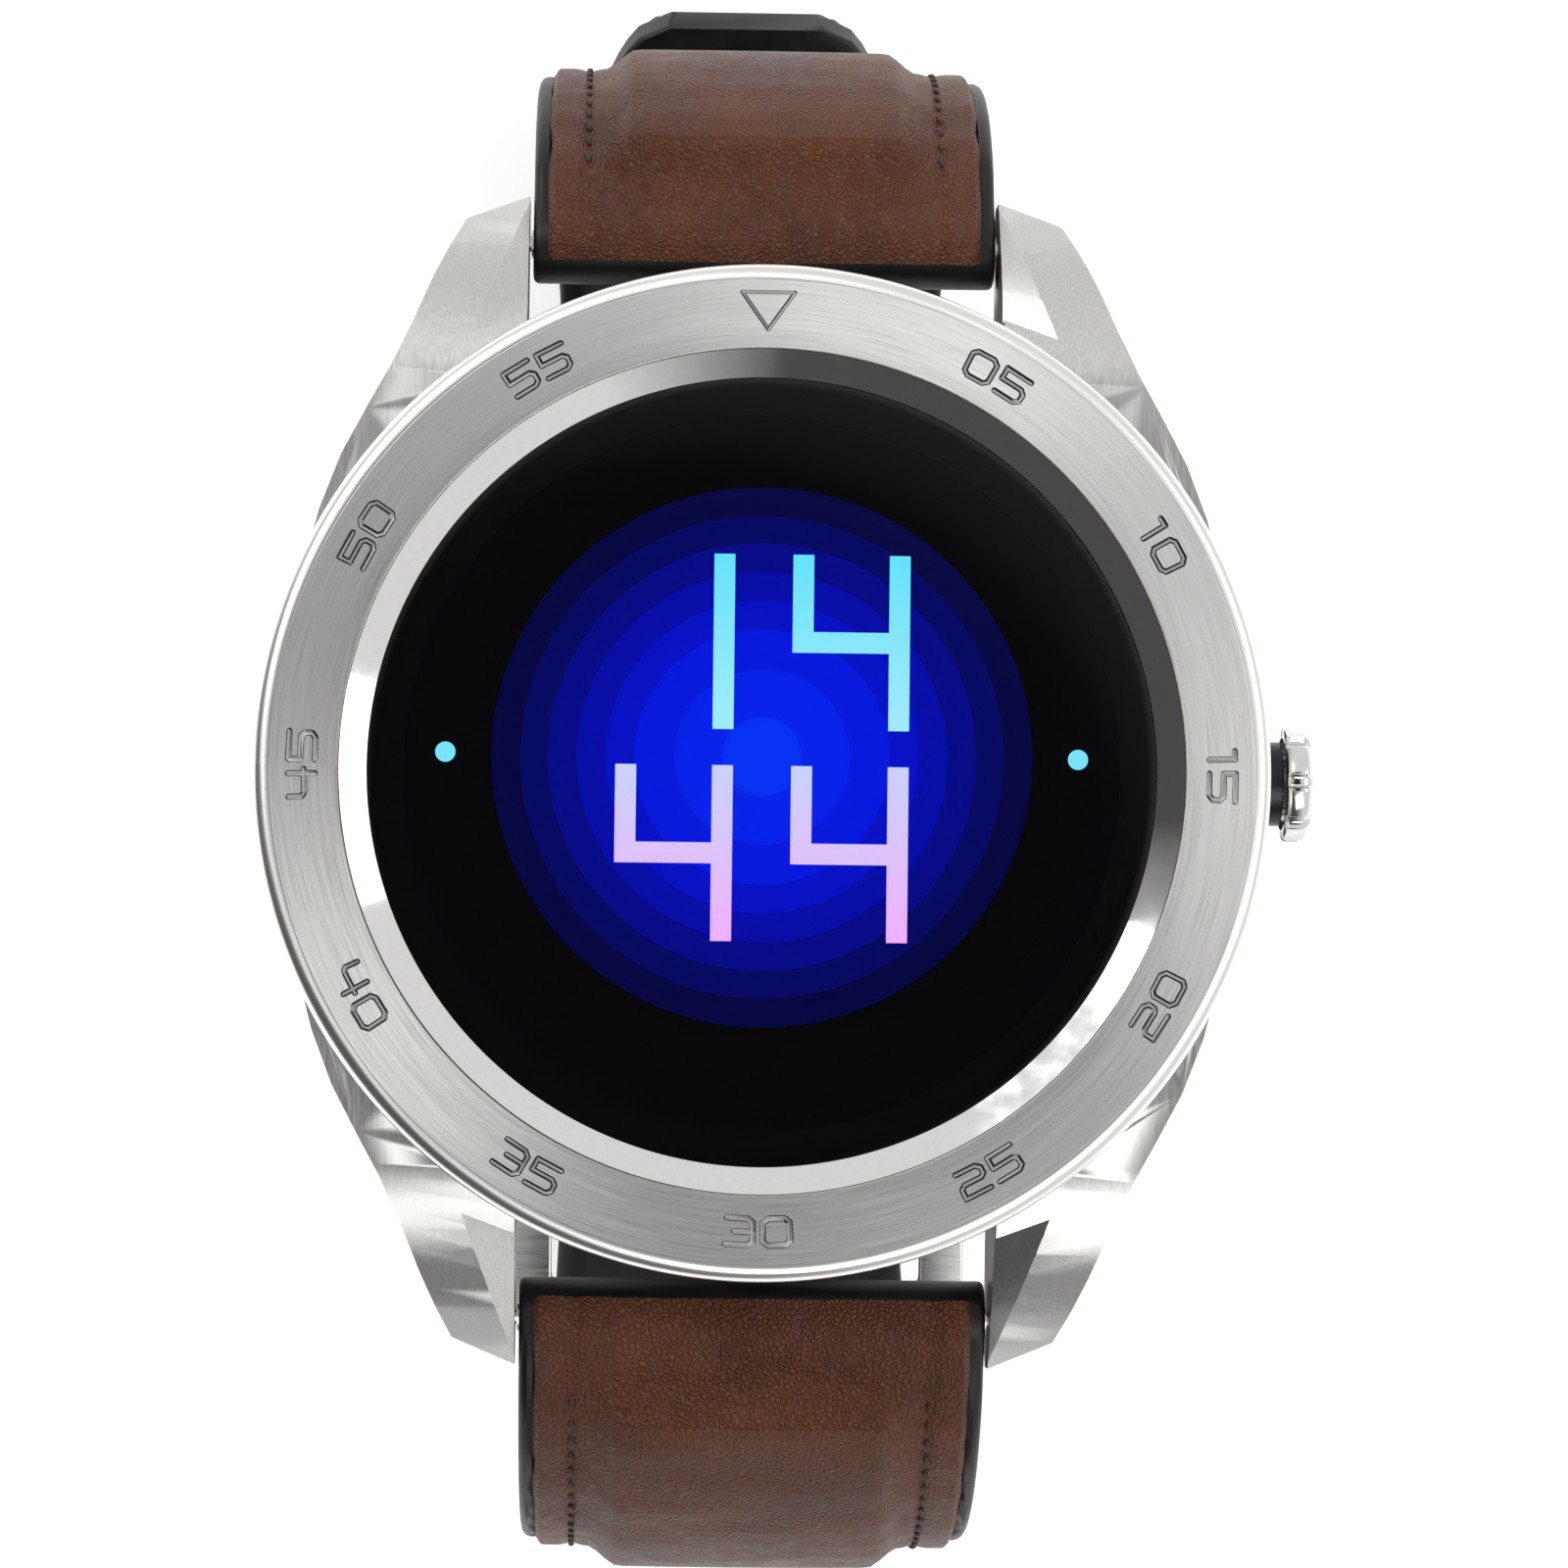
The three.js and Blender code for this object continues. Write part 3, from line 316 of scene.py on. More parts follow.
def black_print():
    n = Nodes("black_print")
    grain = n.noise(n.scaled(0.5, 0.5, 0.5), 1.0, 2.0)
    n.link("Base Color", n.mix(grain, (0.0004, 0.0004, 0.0005), (0.0008, 0.0008, 0.0009)))
    n.link("Roughness", n.ramp(grain, [(0.3, 0.42), (0.7, 0.5)]))
    n.set(Specular_IOR_Level=0.05)
    return n.material


def felt(name, colour):
    n = Nodes(name)
    fibres = n.noise(n.scaled(9, 3, 9), 1.0, 5.0, 0.7)
    n.link("Base Color", n.mix(fibres, colour, tuple(c * 0.75 for c in colour)))
    n.link("Normal", n.bump(fibres, 0.05, 0.6))
    n.set(Roughness=0.95)
    return n.material


def circuit_board():
    n = Nodes("circuit_board")
    bricks = n.add("ShaderNodeTexBrick", {
        "Vector": n.scaled(0.55, 0.55, 0.55), "Scale": 1.0, "Mortar Size": 0.035,
        "Color1": (0.010, 0.075, 0.045, 1),
        "Color2": (0.012, 0.095, 0.055, 1),
        "Mortar": (0.03, 0.20, 0.11, 1),
    })
    n.link("Base Color", bricks.outputs["Color"])
    n.link("Normal", n.bump(bricks.outputs["Fac"], 0.02, 0.4))
    n.link("Roughness", n.ramp(bricks.outputs["Fac"], [(0.0, 0.32), (1.0, 0.5)]))
    return n.material


GLOW_STEPS = [
    (0.0, (0.0, 0.030, 0.95)), (1.8, (0.0, 0.015, 0.88)), (4.0, (0.0, 0.008, 0.78)),
    (5.8, (0.0, 0.004, 0.60)), (7.1, (0.0, 0.002, 0.42)), (8.4, (0.0, 0.001, 0.26)),
    (9.7, (0.0, 0.0006, 0.13)), (11.0, (0.0, 0.0003, 0.055)), (12.3, (0.0, 0.0, 0.0005)),
]
GLOW_EDGE = 16.0
GLOW_CENTRE = 0.7  # millimetres above the middle of the glass


def lit_panel():
    """A black panel with a blue glow that falls off in rings."""
    n = Nodes("display_glow")
    parts = n.add("ShaderNodeSeparateXYZ", {0: n.scaled(1, 1, 1)}).outputs
    up = n.maths("SUBTRACT", parts[1], GLOW_CENTRE)
    square = n.maths("ADD", n.maths("MULTIPLY", parts[0], parts[0]), n.maths("MULTIPLY", up, up))
    reach = n.maths("DIVIDE", n.maths("SQRT", square), GLOW_EDGE)
    stops = [(radius / GLOW_EDGE, colour) for radius, colour in GLOW_STEPS]
    n.link("Emission Color", n.ramp(reach, stops, "CONSTANT"))
    n.set(Emission_Strength=1.0, Roughness=0.3, Specular_IOR_Level=0.05)
    n.shader.inputs["Base Color"].default_value = (0.0004, 0.0004, 0.0006, 1)
    return n.material


def lit_line(name, low_colour, high_colour, low_y, high_y, strength=1.0):
    """Emission that runs from one colour to another along Y."""
    n = Nodes(name)
    parts = n.add("ShaderNodeSeparateXYZ", {0: n.scaled(1, 1, 1)}).outputs
    reach = n.add("ShaderNodeMapRange", {0: parts[1], 1: low_y, 2: high_y, 3: 0.0, 4: 1.0}).outputs[0]
    n.link("Emission Color", n.mix(reach, low_colour, high_colour))
    n.set(Emission_Strength=strength, Roughness=0.6)
    n.shader.inputs["Base Color"].default_value = (0.0, 0.0, 0.0, 1)
    return n.material


STEEL_CIRCULAR = circular_brushed()
STEEL_ALONG = line_brushed("brushed_steel_along", (14, 0.35, 14), (0.50, 0.49, 0.475), (0.28, 0.36))
STEEL_BUCKLE = line_brushed("brushed_steel_buckle", (0.5, 12, 12))
STEEL_POLISHED = polished("polished_steel")
STEEL_CROWN = polished("polished_crown", (0.66, 0.65, 0.64), 0.08, 0.16)
STEEL_BRIGHT = line_brushed("bright_steel", (2, 9, 9), (0.6, 0.59, 0.57), (0.2, 0.32))
STEEL_BLACK = line_brushed("black_steel", (9, 9, 9), (0.03, 0.03, 0.031), (0.3, 0.42))
GLASS = clear_glass("cover_glass")
SENSOR_GLASS = clear_glass("sensor_glass", (0.35, 0.36, 0.4))
BROWN_LEATHER = leather()
STRAP_RUBBER = rubber("strap_rubber")
SEAL_RUBBER = rubber("seal_rubber", roughness=(0.6, 0.75))
STITCH_THREAD = thread()
DARK_PLASTIC = plastic("dark_plastic", (0.02, 0.02, 0.021), 0.45)
MASK_BLACK = black_print()
# Painted shade: near-black steel for the steep walls of the engraved numerals and triangle
GROOVE_WALL_PAINTED_SHADE = line_brushed("groove_wall_painted_shade", (8, 8, 8), (0.055, 0.052, 0.05), (0.35, 0.5))
GROOVE_FLOOR = line_brushed("groove_floor", (8, 8, 8), (0.30, 0.29, 0.28), (0.45, 0.55))
FOIL = line_brushed("battery_foil", (1.2, 1.2, 6), (0.2, 0.2, 0.21), (0.3, 0.5))
FLEX_FILM = plastic("flex_film", (0.42, 0.20, 0.04), 0.35, 0.4)
FELT = felt("felt_padding", (0.55, 0.5, 0.42))
BOARD = circuit_board()
LED_GREEN = plastic("led_green", (0.22, 0.62, 0.28), 0.2)
DIODE_DARK = plastic("diode_dark", (0.03, 0.035, 0.05), 0.15)
GOLD = line_brushed("gold_contact", (6, 6, 6), (0.80, 0.55, 0.20), (0.18, 0.3))
PANEL_GLOW = lit_panel()


# ---- mesh helpers, all in millimetres ---------------------------------------------------------

def mesh_from(verts, faces):
    mesh = bpy.data.meshes.new("shape")
    mesh.from_pydata([tuple(v) for v in verts], [], faces)
    mesh.validate()
    return mesh


def recalculated(mesh):
    bm = bmesh.new()
    bm.from_mesh(mesh)
    bmesh.ops.remove_doubles(bm, verts=bm.verts, dist=1e-5)
    bmesh.ops.recalc_face_normals(bm, faces=bm.faces)
    bm.to_mesh(mesh)
    bm.free()
    return mesh


def turned(profile, sides=ROUND):
    """A part turned about Z from [radius, z] points; a profile off the axis closes on itself."""
    on_axis = profile[0][0] == 0
    verts = []
    rings = []
    for radius, z in profile:
        if radius == 0:
            rings.append([len(verts)] * sides)
            verts.append((0, 0, z))
            continue
        rings.append(list(range(len(verts), len(verts) + sides)))
        for i in range(sides):
            angle = 2 * math.pi * i / sides
            verts.append((radius * math.cos(angle), radius * math.sin(angle), z))
    pairs = list(zip(rings, rings[1:])) + ([] if on_axis else [(rings[-1], rings[0])])
    faces = []
    for low, high in pairs:
        for i in range(sides):
            j = (i + 1) % sides
            corners = dict.fromkeys([low[i], low[j], high[j], high[i]])
            faces.append(list(corners))
    return recalculated(mesh_from(verts, faces))


def arc(centre, radius, start, end, count):
    """Points [radius, z] on an arc, angles in degrees."""
    points = []
    for i in range(count + 1):
        angle = math.radians(start + (end - start) * i / count)
        points.append((centre[0] + radius * math.cos(angle), centre[1] + radius * math.sin(angle)))
    return points


def curve(start, pull, end, count):
    """Points on a smooth curve from start to end that bends towards `pull`."""
    points = []
    for i in range(count + 1):
        t = i / count
        weights = ((1 - t) ** 2, 2 * t * (1 - t), t * t)
        points.append(tuple(sum(w * p[axis] for w, p in zip(weights, (start, pull, end))) for axis in (0, 1)))
    return points


def prism(outline, low, high):
    count = len(outline)
    verts = [(x, y, low) for x, y in outline] + [(x, y, high) for x, y in outline]
    faces = [list(range(count))[::-1], list(range(count, 2 * count))]
    faces += [[i, (i + 1) % count, count + (i + 1) % count, count + i] for i in range(count)]
    return recalculated(mesh_from(verts, faces))


def block(x0, x1, y0, y1, z0, z1):
    return prism([(x0, y0), (x1, y0), (x1, y1), (x0, y1)], z0, z1)


def moved(mesh, matrix):
    mesh.transform(matrix)
    if matrix.determinant() < 0:
        mesh.flip_normals()
    return mesh


def shifted(mesh, x=0, y=0, z=0):
    return moved(mesh, Matrix.Translation((x, y, z)))


TO_X = Matrix.Rotation(math.pi / 2, 4, "Y")  # turns a part made about Z onto X


def along_x(mesh, y=0, z=0):
    return shifted(moved(mesh, TO_X), 0, y, z)


def side_prism(outline, x0, x1):
    """A [y, z] outline extruded along X."""
    count = len(outline)
    verts = [(x0, y, z) for y, z in outline] + [(x1, y, z) for y, z in outline]
    faces = [list(range(count)), list(range(count, 2 * count))[::-1]]
    faces += [[i, (i + 1) % count, count + (i + 1) % count, count + i] for i in range(count)]
    return recalculated(mesh_from(verts, faces))


def with_modifier(mesh, kind, **settings):
    """The mesh with one modifier applied."""
    holder = bpy.data.objects.new("holder", mesh)
    bpy.context.scene.collection.objects.link(holder)
    modifier = holder.modifiers.new("step", kind)
    for key, value in settings.items():
        setattr(modifier, key, value)
    evaluated = holder.evaluated_get(bpy.context.evaluated_depsgraph_get())
    result = bpy.data.meshes.new_from_object(evaluated)
    bpy.data.objects.remove(holder)
    return result


def combined(mesh, other, operation):
    tool = bpy.data.objects.new("tool", other)
    bpy.context.scene.collection.objects.link(tool)
    result = with_modifier(mesh, "BOOLEAN", object=tool, operation=operation, solver="EXACT", use_self=True)
    bpy.data.objects.remove(tool)
    return result


def cut(mesh, *others):
    for other in others:
        mesh = combined(mesh, other, "DIFFERENCE")
    return mesh


def bevelled(mesh, width, segments=2, angle=28):
    return with_modifier(mesh, "BEVEL", width=width, segments=segments, limit_method="ANGLE",
                         angle_limit=math.radians(angle), use_clamp_overlap=True, loop_slide=False)


def joined(meshes):
    bm = bmesh.new()
    for mesh in meshes:
        bm.from_mesh(mesh)
    result = bpy.data.meshes.new("joined")
    bm.to_mesh(result)
    bm.free()
    return result


def smoothed(mesh, angle):
    """Smooth shading, sharp across edges that turn more than the angle."""
    bm = bmesh.new()
    bm.from_mesh(mesh)
    limit = math.radians(angle)
    for face in bm.faces:
        face.smooth = True
    for edge in bm.edges:
        edge.smooth = len(edge.link_faces) == 2 and edge.calc_face_angle(0) < limit
    bm.to_mesh(mesh)
    bm.free()
    return mesh


def piece(name, mesh, material, body, nodes=(), angle=32, groove_part=None):
    """Makes the finished object in metres, riding on its body.

    `groove_part` says for each face whether it is plain (0), a groove's wall (1), which gets a near-black
    painted shade, or its floor (2).
    """
    mesh = smoothed(mesh, angle)
    mesh.name = name
    mesh.materials.clear()
    mesh.materials.append(material)
    for face in mesh.polygons:
        face.material_index = 0
    if groove_part:
        mesh.materials.append(GROOVE_WALL_PAINTED_SHADE)
        mesh.materials.append(GROOVE_FLOOR)
        for face in mesh.polygons:
            face.material_index = groove_part(face)
    mesh.transform(Matrix.Scale(MM, 4))
    obj = bpy.data.objects.new(name, mesh)
    bpy.context.scene.collection.objects.link(obj)
    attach(obj, body)
    if nodes:
        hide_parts(*nodes)
    return obj


# ---- strap routes -----------------------------------------------------------------------------

class StrapRoute:
    """The line where leather meets rubber; `side` is 1 at 12 o'clock and -1 at 6 o'clock."""

    def __init__(self, side, bends):
        self.side = side
        self.bends = bends
        self.length = sum(length for length, _ in bends)

    def at(self, distance):
        heading = math.radians(FIRST_HEADING)
        if distance < 0:
            heading += distance / BOSS_RADIUS
        y = BAR_Y + BOSS_RADIUS * math.sin(heading)
        z = BAR_Z + BOSS_RADIUS * math.cos(heading)
        left = max(0, distance)
        for length, turn in self.bends:
            here = min(left, length)
            bend = math.radians(turn) * here / length
            chord = here if abs(bend) < 1e-9 else 2 * here * math.sin(bend / 2) / bend
            y += chord * math.cos(heading + bend / 2)
            z -= chord * math.sin(heading + bend / 2)
            heading += bend
            left -= here
        y += left * math.cos(heading)
        z -= left * math.sin(heading)
        return y, z, heading

    def point(self, distance, across, out):
        y, z, heading = self.at(distance)
        return Vector((across, self.side * (y + out * math.sin(heading)), z + out * math.cos(heading)))

    def frame(self, distance, out=0):
        """A matrix whose Y runs along the strap and whose Z points out of it."""
        _, _, heading = self.at(distance)
        along = Vector((0, self.side * math.cos(heading), -math.sin(heading)))
        normal = Vector((0, self.side * math.sin(heading), math.cos(heading)))
        matrix = Matrix.Identity(4)
        for row in range(3):
            matrix[row][0] = (self.side, 0, 0)[row]
            matrix[row][1] = along[row]
            matrix[row][2] = normal[row]
            matrix[row][3] = self.point(distance, 0, out)[row]
        return matrix


SHORT = StrapRoute(1, SHORT_BENDS)
LONG = StrapRoute(-1, LONG_BENDS)
LEATHER_START = -BOSS_RADIUS * math.radians(FIRST_HEADING + 25)


def smoothstep(value, low, high):
    t = max(0.0, min(1.0, (value - low) / (high - low)))
    return t * t * (3 - 2 * t)


def short_half_width(distance):
    return (STRAP_WIDTH + (BUCKLE_END_WIDTH - STRAP_WIDTH) * smoothstep(distance, 6, 52)) / 2


def long_half_width(distance):
    half = (STRAP_WIDTH + (TAIL_WIDTH - STRAP_WIDTH) * smoothstep(distance, 6, 80)) / 2
    to_end = min(1, max(0, LONG.length - distance) / TAIL_ROUNDING)
    return TAIL_END_HALF_WIDTH + (half - TAIL_END_HALF_WIDTH) * math.sqrt(1 - (1 - to_end) ** 2)


def stations(start, end, step):
    count = max(1, round((end - start) / step))
    return [start + (end - start) * i / count for i in range(count + 1)]


def swept(route, lengths, section_at):
    """A closed solid along a route; `section_at` gives (across, out) points."""
    outlines = [section_at(distance) for distance in lengths]
    count = len(outlines[0])
    verts = []
    for distance, outline in zip(lengths, outlines):
        verts += [route.point(distance, across, out) for across, out in outline]
    faces = []
    for i in range(len(lengths) - 1):
        for j in range(count):
            a = i * count + j
            b = i * count + (j + 1) % count
            faces.append([a, b, b + count, a + count])
    faces.append(list(range(count)))
    faces.append(list(range((len(lengths) - 1) * count, len(lengths) * count)))
    return recalculated(mesh_from(verts, faces))


def padding_at(distance, end):
    return (PADDING * smoothstep(distance, PADDING_START, PADDING_FULL)
            * (1 - smoothstep(distance, end - 6, end)))


def leather_section(half, thickness, padding, count=56):
    """A thin skin with a soft padded ridge, rolled edges and a groove under each seam."""
    top = []
    edge = 0.32
    padded = min(PADDED_HALF_WIDTH, half - 1.6)
    for i in range(count + 1):
        across = half * math.sin((i / count - 0.5) * math.pi)
        reach = abs(across)
        ridge = padding * (1 - smoothstep(reach, padded - 0.6, padded + 1.0))
        crown = 0.06 * (padding / PADDING) * (1 - (reach / half) ** 2)
        seam = 0.14 * math.exp(-(((reach - SEAM_ACROSS) / 0.38) ** 2)) * smoothstep(half, 7, 9)
        roll = edge * smoothstep(reach, half - edge, half) ** 2
        top.append((across, thickness + ridge + crown - seam - roll))
    bottom = [(half - 0.12, SKIN_GAP), (-half + 0.12, SKIN_GAP)]
    return top + bottom


SEAM_ACROSS = 8.3
STITCH_PITCH = 1.05
STITCH_LENGTH = 0.72
FIRST_STITCH = 3.3


def leather_thickness(distance):
    return 0.6 + (LEATHER - 0.6) * smoothstep(distance, 0, 5)


def half_width_of(route):
    return short_half_width if route is SHORT else long_half_width


def wrinkled(mesh, route, seed):
    """Small folds across the leather, strongest where it rolls over the bar."""
    source = random.Random(seed)
    waves = [(source.uniform(1.3, 4.0), source.uniform(0, 6.28), source.uniform(-0.5, 0.5)) for _ in range(7)]
    bar = Vector((0, route.side * BAR_Y, BAR_Z))
    mesh.update()
    normals = [vertex.normal.copy() for vertex in mesh.vertices]
    for vertex, normal in zip(mesh.vertices, normals):
        away = (Vector((0, vertex.co.y, vertex.co.z)) - bar).length
        strength = 0.010 + 0.028 * math.exp(-((away - 5) / 6) ** 2)
        height = sum(math.sin(k * vertex.co.z + tilt * vertex.co.x + phase) for k, phase, tilt in waves)
        vertex.co += normal * strength * height / 2.5
    return mesh


def make_leather(name, route, padding_end, end, body, seed):
    half_width = half_width_of(route)

    def section(distance):
        half = half_width(min(distance, end)) - LEATHER_INSET
        return leather_section(half, leather_thickness(distance), padding_at(distance, padding_end))

    lengths = stations(LEATHER_START, 0, 0.25) + stations(0.4, end, 0.55)[:-1]
    if route is LONG:
        lengths = [d for d in lengths if d < end - 3] + stations(end - 3, end, 0.25)
    else:
        lengths.append(end)
    mesh = wrinkled(swept(route, lengths, section), route, seed)
    if route is LONG:
        mesh = cut(mesh, hole_cutters(1.15))
    piece(f"{name}_leather_skin", mesh, BROWN_LEATHER, body, [f"{name}_leather"], 50)


def capsule(length, width, height, around=8, rings=5):
    """A rounded stitch lying along Y."""
    profile = [(0, -length / 2)]
    for i in range(1, rings):
        t = i / rings
        bulge = math.sin(math.pi * t) ** 0.45
        profile.append((0.5 * bulge, length * (t - 0.5)))
    profile.append((0, length / 2))
    mesh = turned(profile, around)
    mesh.transform(Matrix.Rotation(-math.pi / 2, 4, "X"))
    mesh.transform(Matrix.Diagonal((width, 1, height, 1)))
    return mesh


def make_stitches(name, route, end, body):
    half_width = half_width_of(route)
    stitches = []
    count = int((end - 1.6 - FIRST_STITCH) / STITCH_PITCH)
    for i in range(count):
        distance = FIRST_STITCH + STITCH_PITCH * i
        across = min(SEAM_ACROSS, half_width(distance) - LEATHER_INSET - 0.9)
        out = leather_thickness(distance) - 0.05
        for side in (-1, 1):
            stitch = capsule(STITCH_LENGTH, 0.27, 0.22)
            place = route.frame(distance, out) @ Matrix.Translation((side * across, 0, 0))
            stitches.append(moved(stitch, place @ Matrix.Rotation(0.2, 4, "Z")))
    piece(f"{name}_stitches", joined(stitches), STITCH_THREAD, body, (), 80)


def rubber_section(half, distance, route):
    """Rounded edges, a fine line along each side and a shallow channel underneath."""
    edge = 0.4
    lip = 0.5 * smoothstep(distance, 1, 4) * (1 - smoothstep(distance, route.length - 5, route.length - 3))
    inside = half - LEATHER_INSET + 0.04
    points = [(inside, 0), (inside, lip), (half - edge + 0.01, lip + 0.01)]
    for centre, start in (((half - edge, lip - edge), 90), ((half - edge, edge - RUBBER), 0)):
        for i in range(5):
            angle = math.radians(start - 90 * i / 4)
            points.append((centre[0] + edge * math.cos(angle), centre[1] + edge * math.sin(angle)))
    points.insert(8, (half - 0.10, -RUBBER / 2))
    channel = (0.28 * smoothstep(distance, 6, 9)
               * (1 - smoothstep(distance, route.length - 2.4, route.length - 1.7)))
    rim = min(half - 1.5, half * 0.82)
    points += [(rim, -RUBBER), (rim - 0.35, channel - RUBBER)]
    return points + [(-across, out) for across, out in reversed(points)]


def boss(y, z, half):
    profile = [(0, -half)] + arc((BOSS_RADIUS - 0.3, -half + 0.3), 0.3, -90, 0, 4)
    profile += arc((BOSS_RADIUS - 0.3, half - 0.3), 0.3, 0, 90, 4) + [(0, half)]
    return along_x(turned(profile, 64), y, z)


def bore(y, z, radius=0.85):
    return along_x(turned([(0, -14), (radius, -14), (radius, 14), (0, 14)], 48), y, z)


def hole_cutters(radius):
    cutters = []
    for i in range(HOLE_COUNT):
        distance = LONG.length - LAST_HOLE - i * HOLE_SPACING
        pin = turned([(0, -5), (radius, -5), (radius, 5), (0, 5)], 32)
        cutters.append(moved(pin, LONG.frame(distance)))
    return joined(cutters)


def buckle_bar():
    y, z, heading = SHORT.at(SHORT.length)
    y += BUCKLE_BAR_OUT * math.sin(heading) + BUCKLE_BAR_AHEAD * math.cos(heading)
    z += BUCKLE_BAR_OUT * math.cos(heading) - BUCKLE_BAR_AHEAD * math.sin(heading)
    return y, z, heading


def make_rubber():
    short = swept(SHORT, stations(0, SHORT.length + 1, 0.8),
                  lambda d: rubber_section(short_half_width(d), d, SHORT))
    y, z, _ = buckle_bar()
    short = combined(short, boss(BAR_Y, BAR_Z, STRAP_WIDTH / 2), "UNION")
    short = combined(short, boss(y, z, BUCKLE_END_WIDTH / 2), "UNION")
    short = cut(short, joined([bore(BAR_Y, BAR_Z), bore(y, z)]))
    short = cut(short, block(-1.5, 1.5, y - 3, y + 2.6, z - 4, z + 4))
    piece("strap_12_rubber_base", short, STRAP_RUBBER, "strap_12", ["strap_12_rubber"], 40)
    end = LONG.length
    lengths = stations(0, end - TAIL_ROUNDING, 0.8)[:-1] + [
        end - TAIL_ROUNDING * math.cos(math.pi / 2 * i / 28) for i in range(29)]
    long = swept(LONG, lengths, lambda d: rubber_section(long_half_width(d), d, LONG))
    long = combined(long, boss(-BAR_Y, BAR_Z, STRAP_WIDTH / 2), "UNION")
    long = cut(long, joined([bore(-BAR_Y, BAR_Z), hole_cutters(1.1)]))
    long = bevelled(long, 0.12, 2, 50)
    piece("strap_6_rubber_base", long, STRAP_RUBBER, "strap_6", ["strap_6_rubber"], 40)


def make_padding(name, route, padding_end, body):
    def section(distance):
        height = max(0.2, padding_at(distance, padding_end) - 0.1)
        half = PADDED_HALF_WIDTH - 1
        points = []
        for i in range(17):
            across = half * math.cos(math.pi * i / 16)
            points.append((across, SKIN_GAP + 0.05 + height * math.sin(math.pi * i / 16) ** 0.4))
        return points

    pad = piece(f"{name}_felt", swept(route, stations(6, padding_end - 2.6, 1.2), section), FELT, body,
                [f"{name}_padding"], 60)


def make_strap():
    short_end = SHORT.length - 3
    long_end = LONG.length - LEATHER_INSET
    make_rubber()
    make_leather("strap_12", SHORT, 44, short_end, "strap_12", 3)
    make_leather("strap_6", LONG, 66, long_end, "strap_6", 8)
    make_stitches("strap_12", SHORT, short_end, "strap_12")
    make_stitches("strap_6", LONG, long_end - 6, "strap_6")
    make_padding("strap_12", SHORT, 44, "strap_12")
    make_padding("strap_6", LONG, 66, "strap_6")


def rounded_rectangle(half_x, half_y, corner, count=8):
    points = []
    for sx, sy, start in ((1, 1, 0), (-1, 1, 90), (-1, -1, 180), (1, -1, 270)):
        for i in range(count + 1):
            angle = math.radians(start + 90 * i / count)
            points.append((sx * (half_x - corner) + corner * math.cos(angle),
                           sy * (half_y - corner) + corner * math.sin(angle)))
    return points


def loop_mesh(outer, inner, low, high):
    """A ring between two outlines with the same number of points, along Z."""
    count = len(outer)
    verts = [(x, y, z) for z in (low, high) for outline in (outer, inner) for x, y in outline]
    faces = []
    for i in range(count):
        j = (i + 1) % count
        a, b, c, d = 0, count, 2 * count, 3 * count
        faces += [[a + i, a + j, c + j, c + i], [b + j, b + i, d + i, d + j],
                  [a + j, a + i, b + i, b + j], [c + i, c + j, d + j, d + i]]
    return recalculated(mesh_from(verts, faces))


def make_keeper(name, distance, length, body):
    wall = 1.1
    half_x = short_half_width(distance) + 0.35
    low = -RUBBER - 0.2
    high = LEATHER + 3.3
    half_z = (high - low) / 2
    outer = rounded_rectangle(half_x + wall, half_z + wall, 1.6)
    inner = rounded_rectangle(half_x, half_z, 0.6)
    mesh = bevelled(loop_mesh(outer, inner, -length / 2, length / 2), 0.3, 4, 50)
    mesh.transform(Matrix.Translation((0, 0, (low + high) / 2)) @ Matrix.Rotation(math.pi / 2, 4, "X"))
    mesh = moved(mesh, SHORT.frame(distance))
    piece(f"{name}_loop", mesh, STRAP_RUBBER, body, [name], 40)


# ---- buckle -----------------------------------------------------------------------------------

BUCKLE_INNER_HALF = 9.6
BUCKLE_OUTER_HALF = 11.8
BUCKLE_LENGTH = 12.4
BUCKLE_THICKNESS = 2.2


def buckle_frame_matrix():
    y, z, heading = buckle_bar()
    return Matrix.Translation((0, y, z)) @ Matrix.Rotation(-heading, 4, "X")


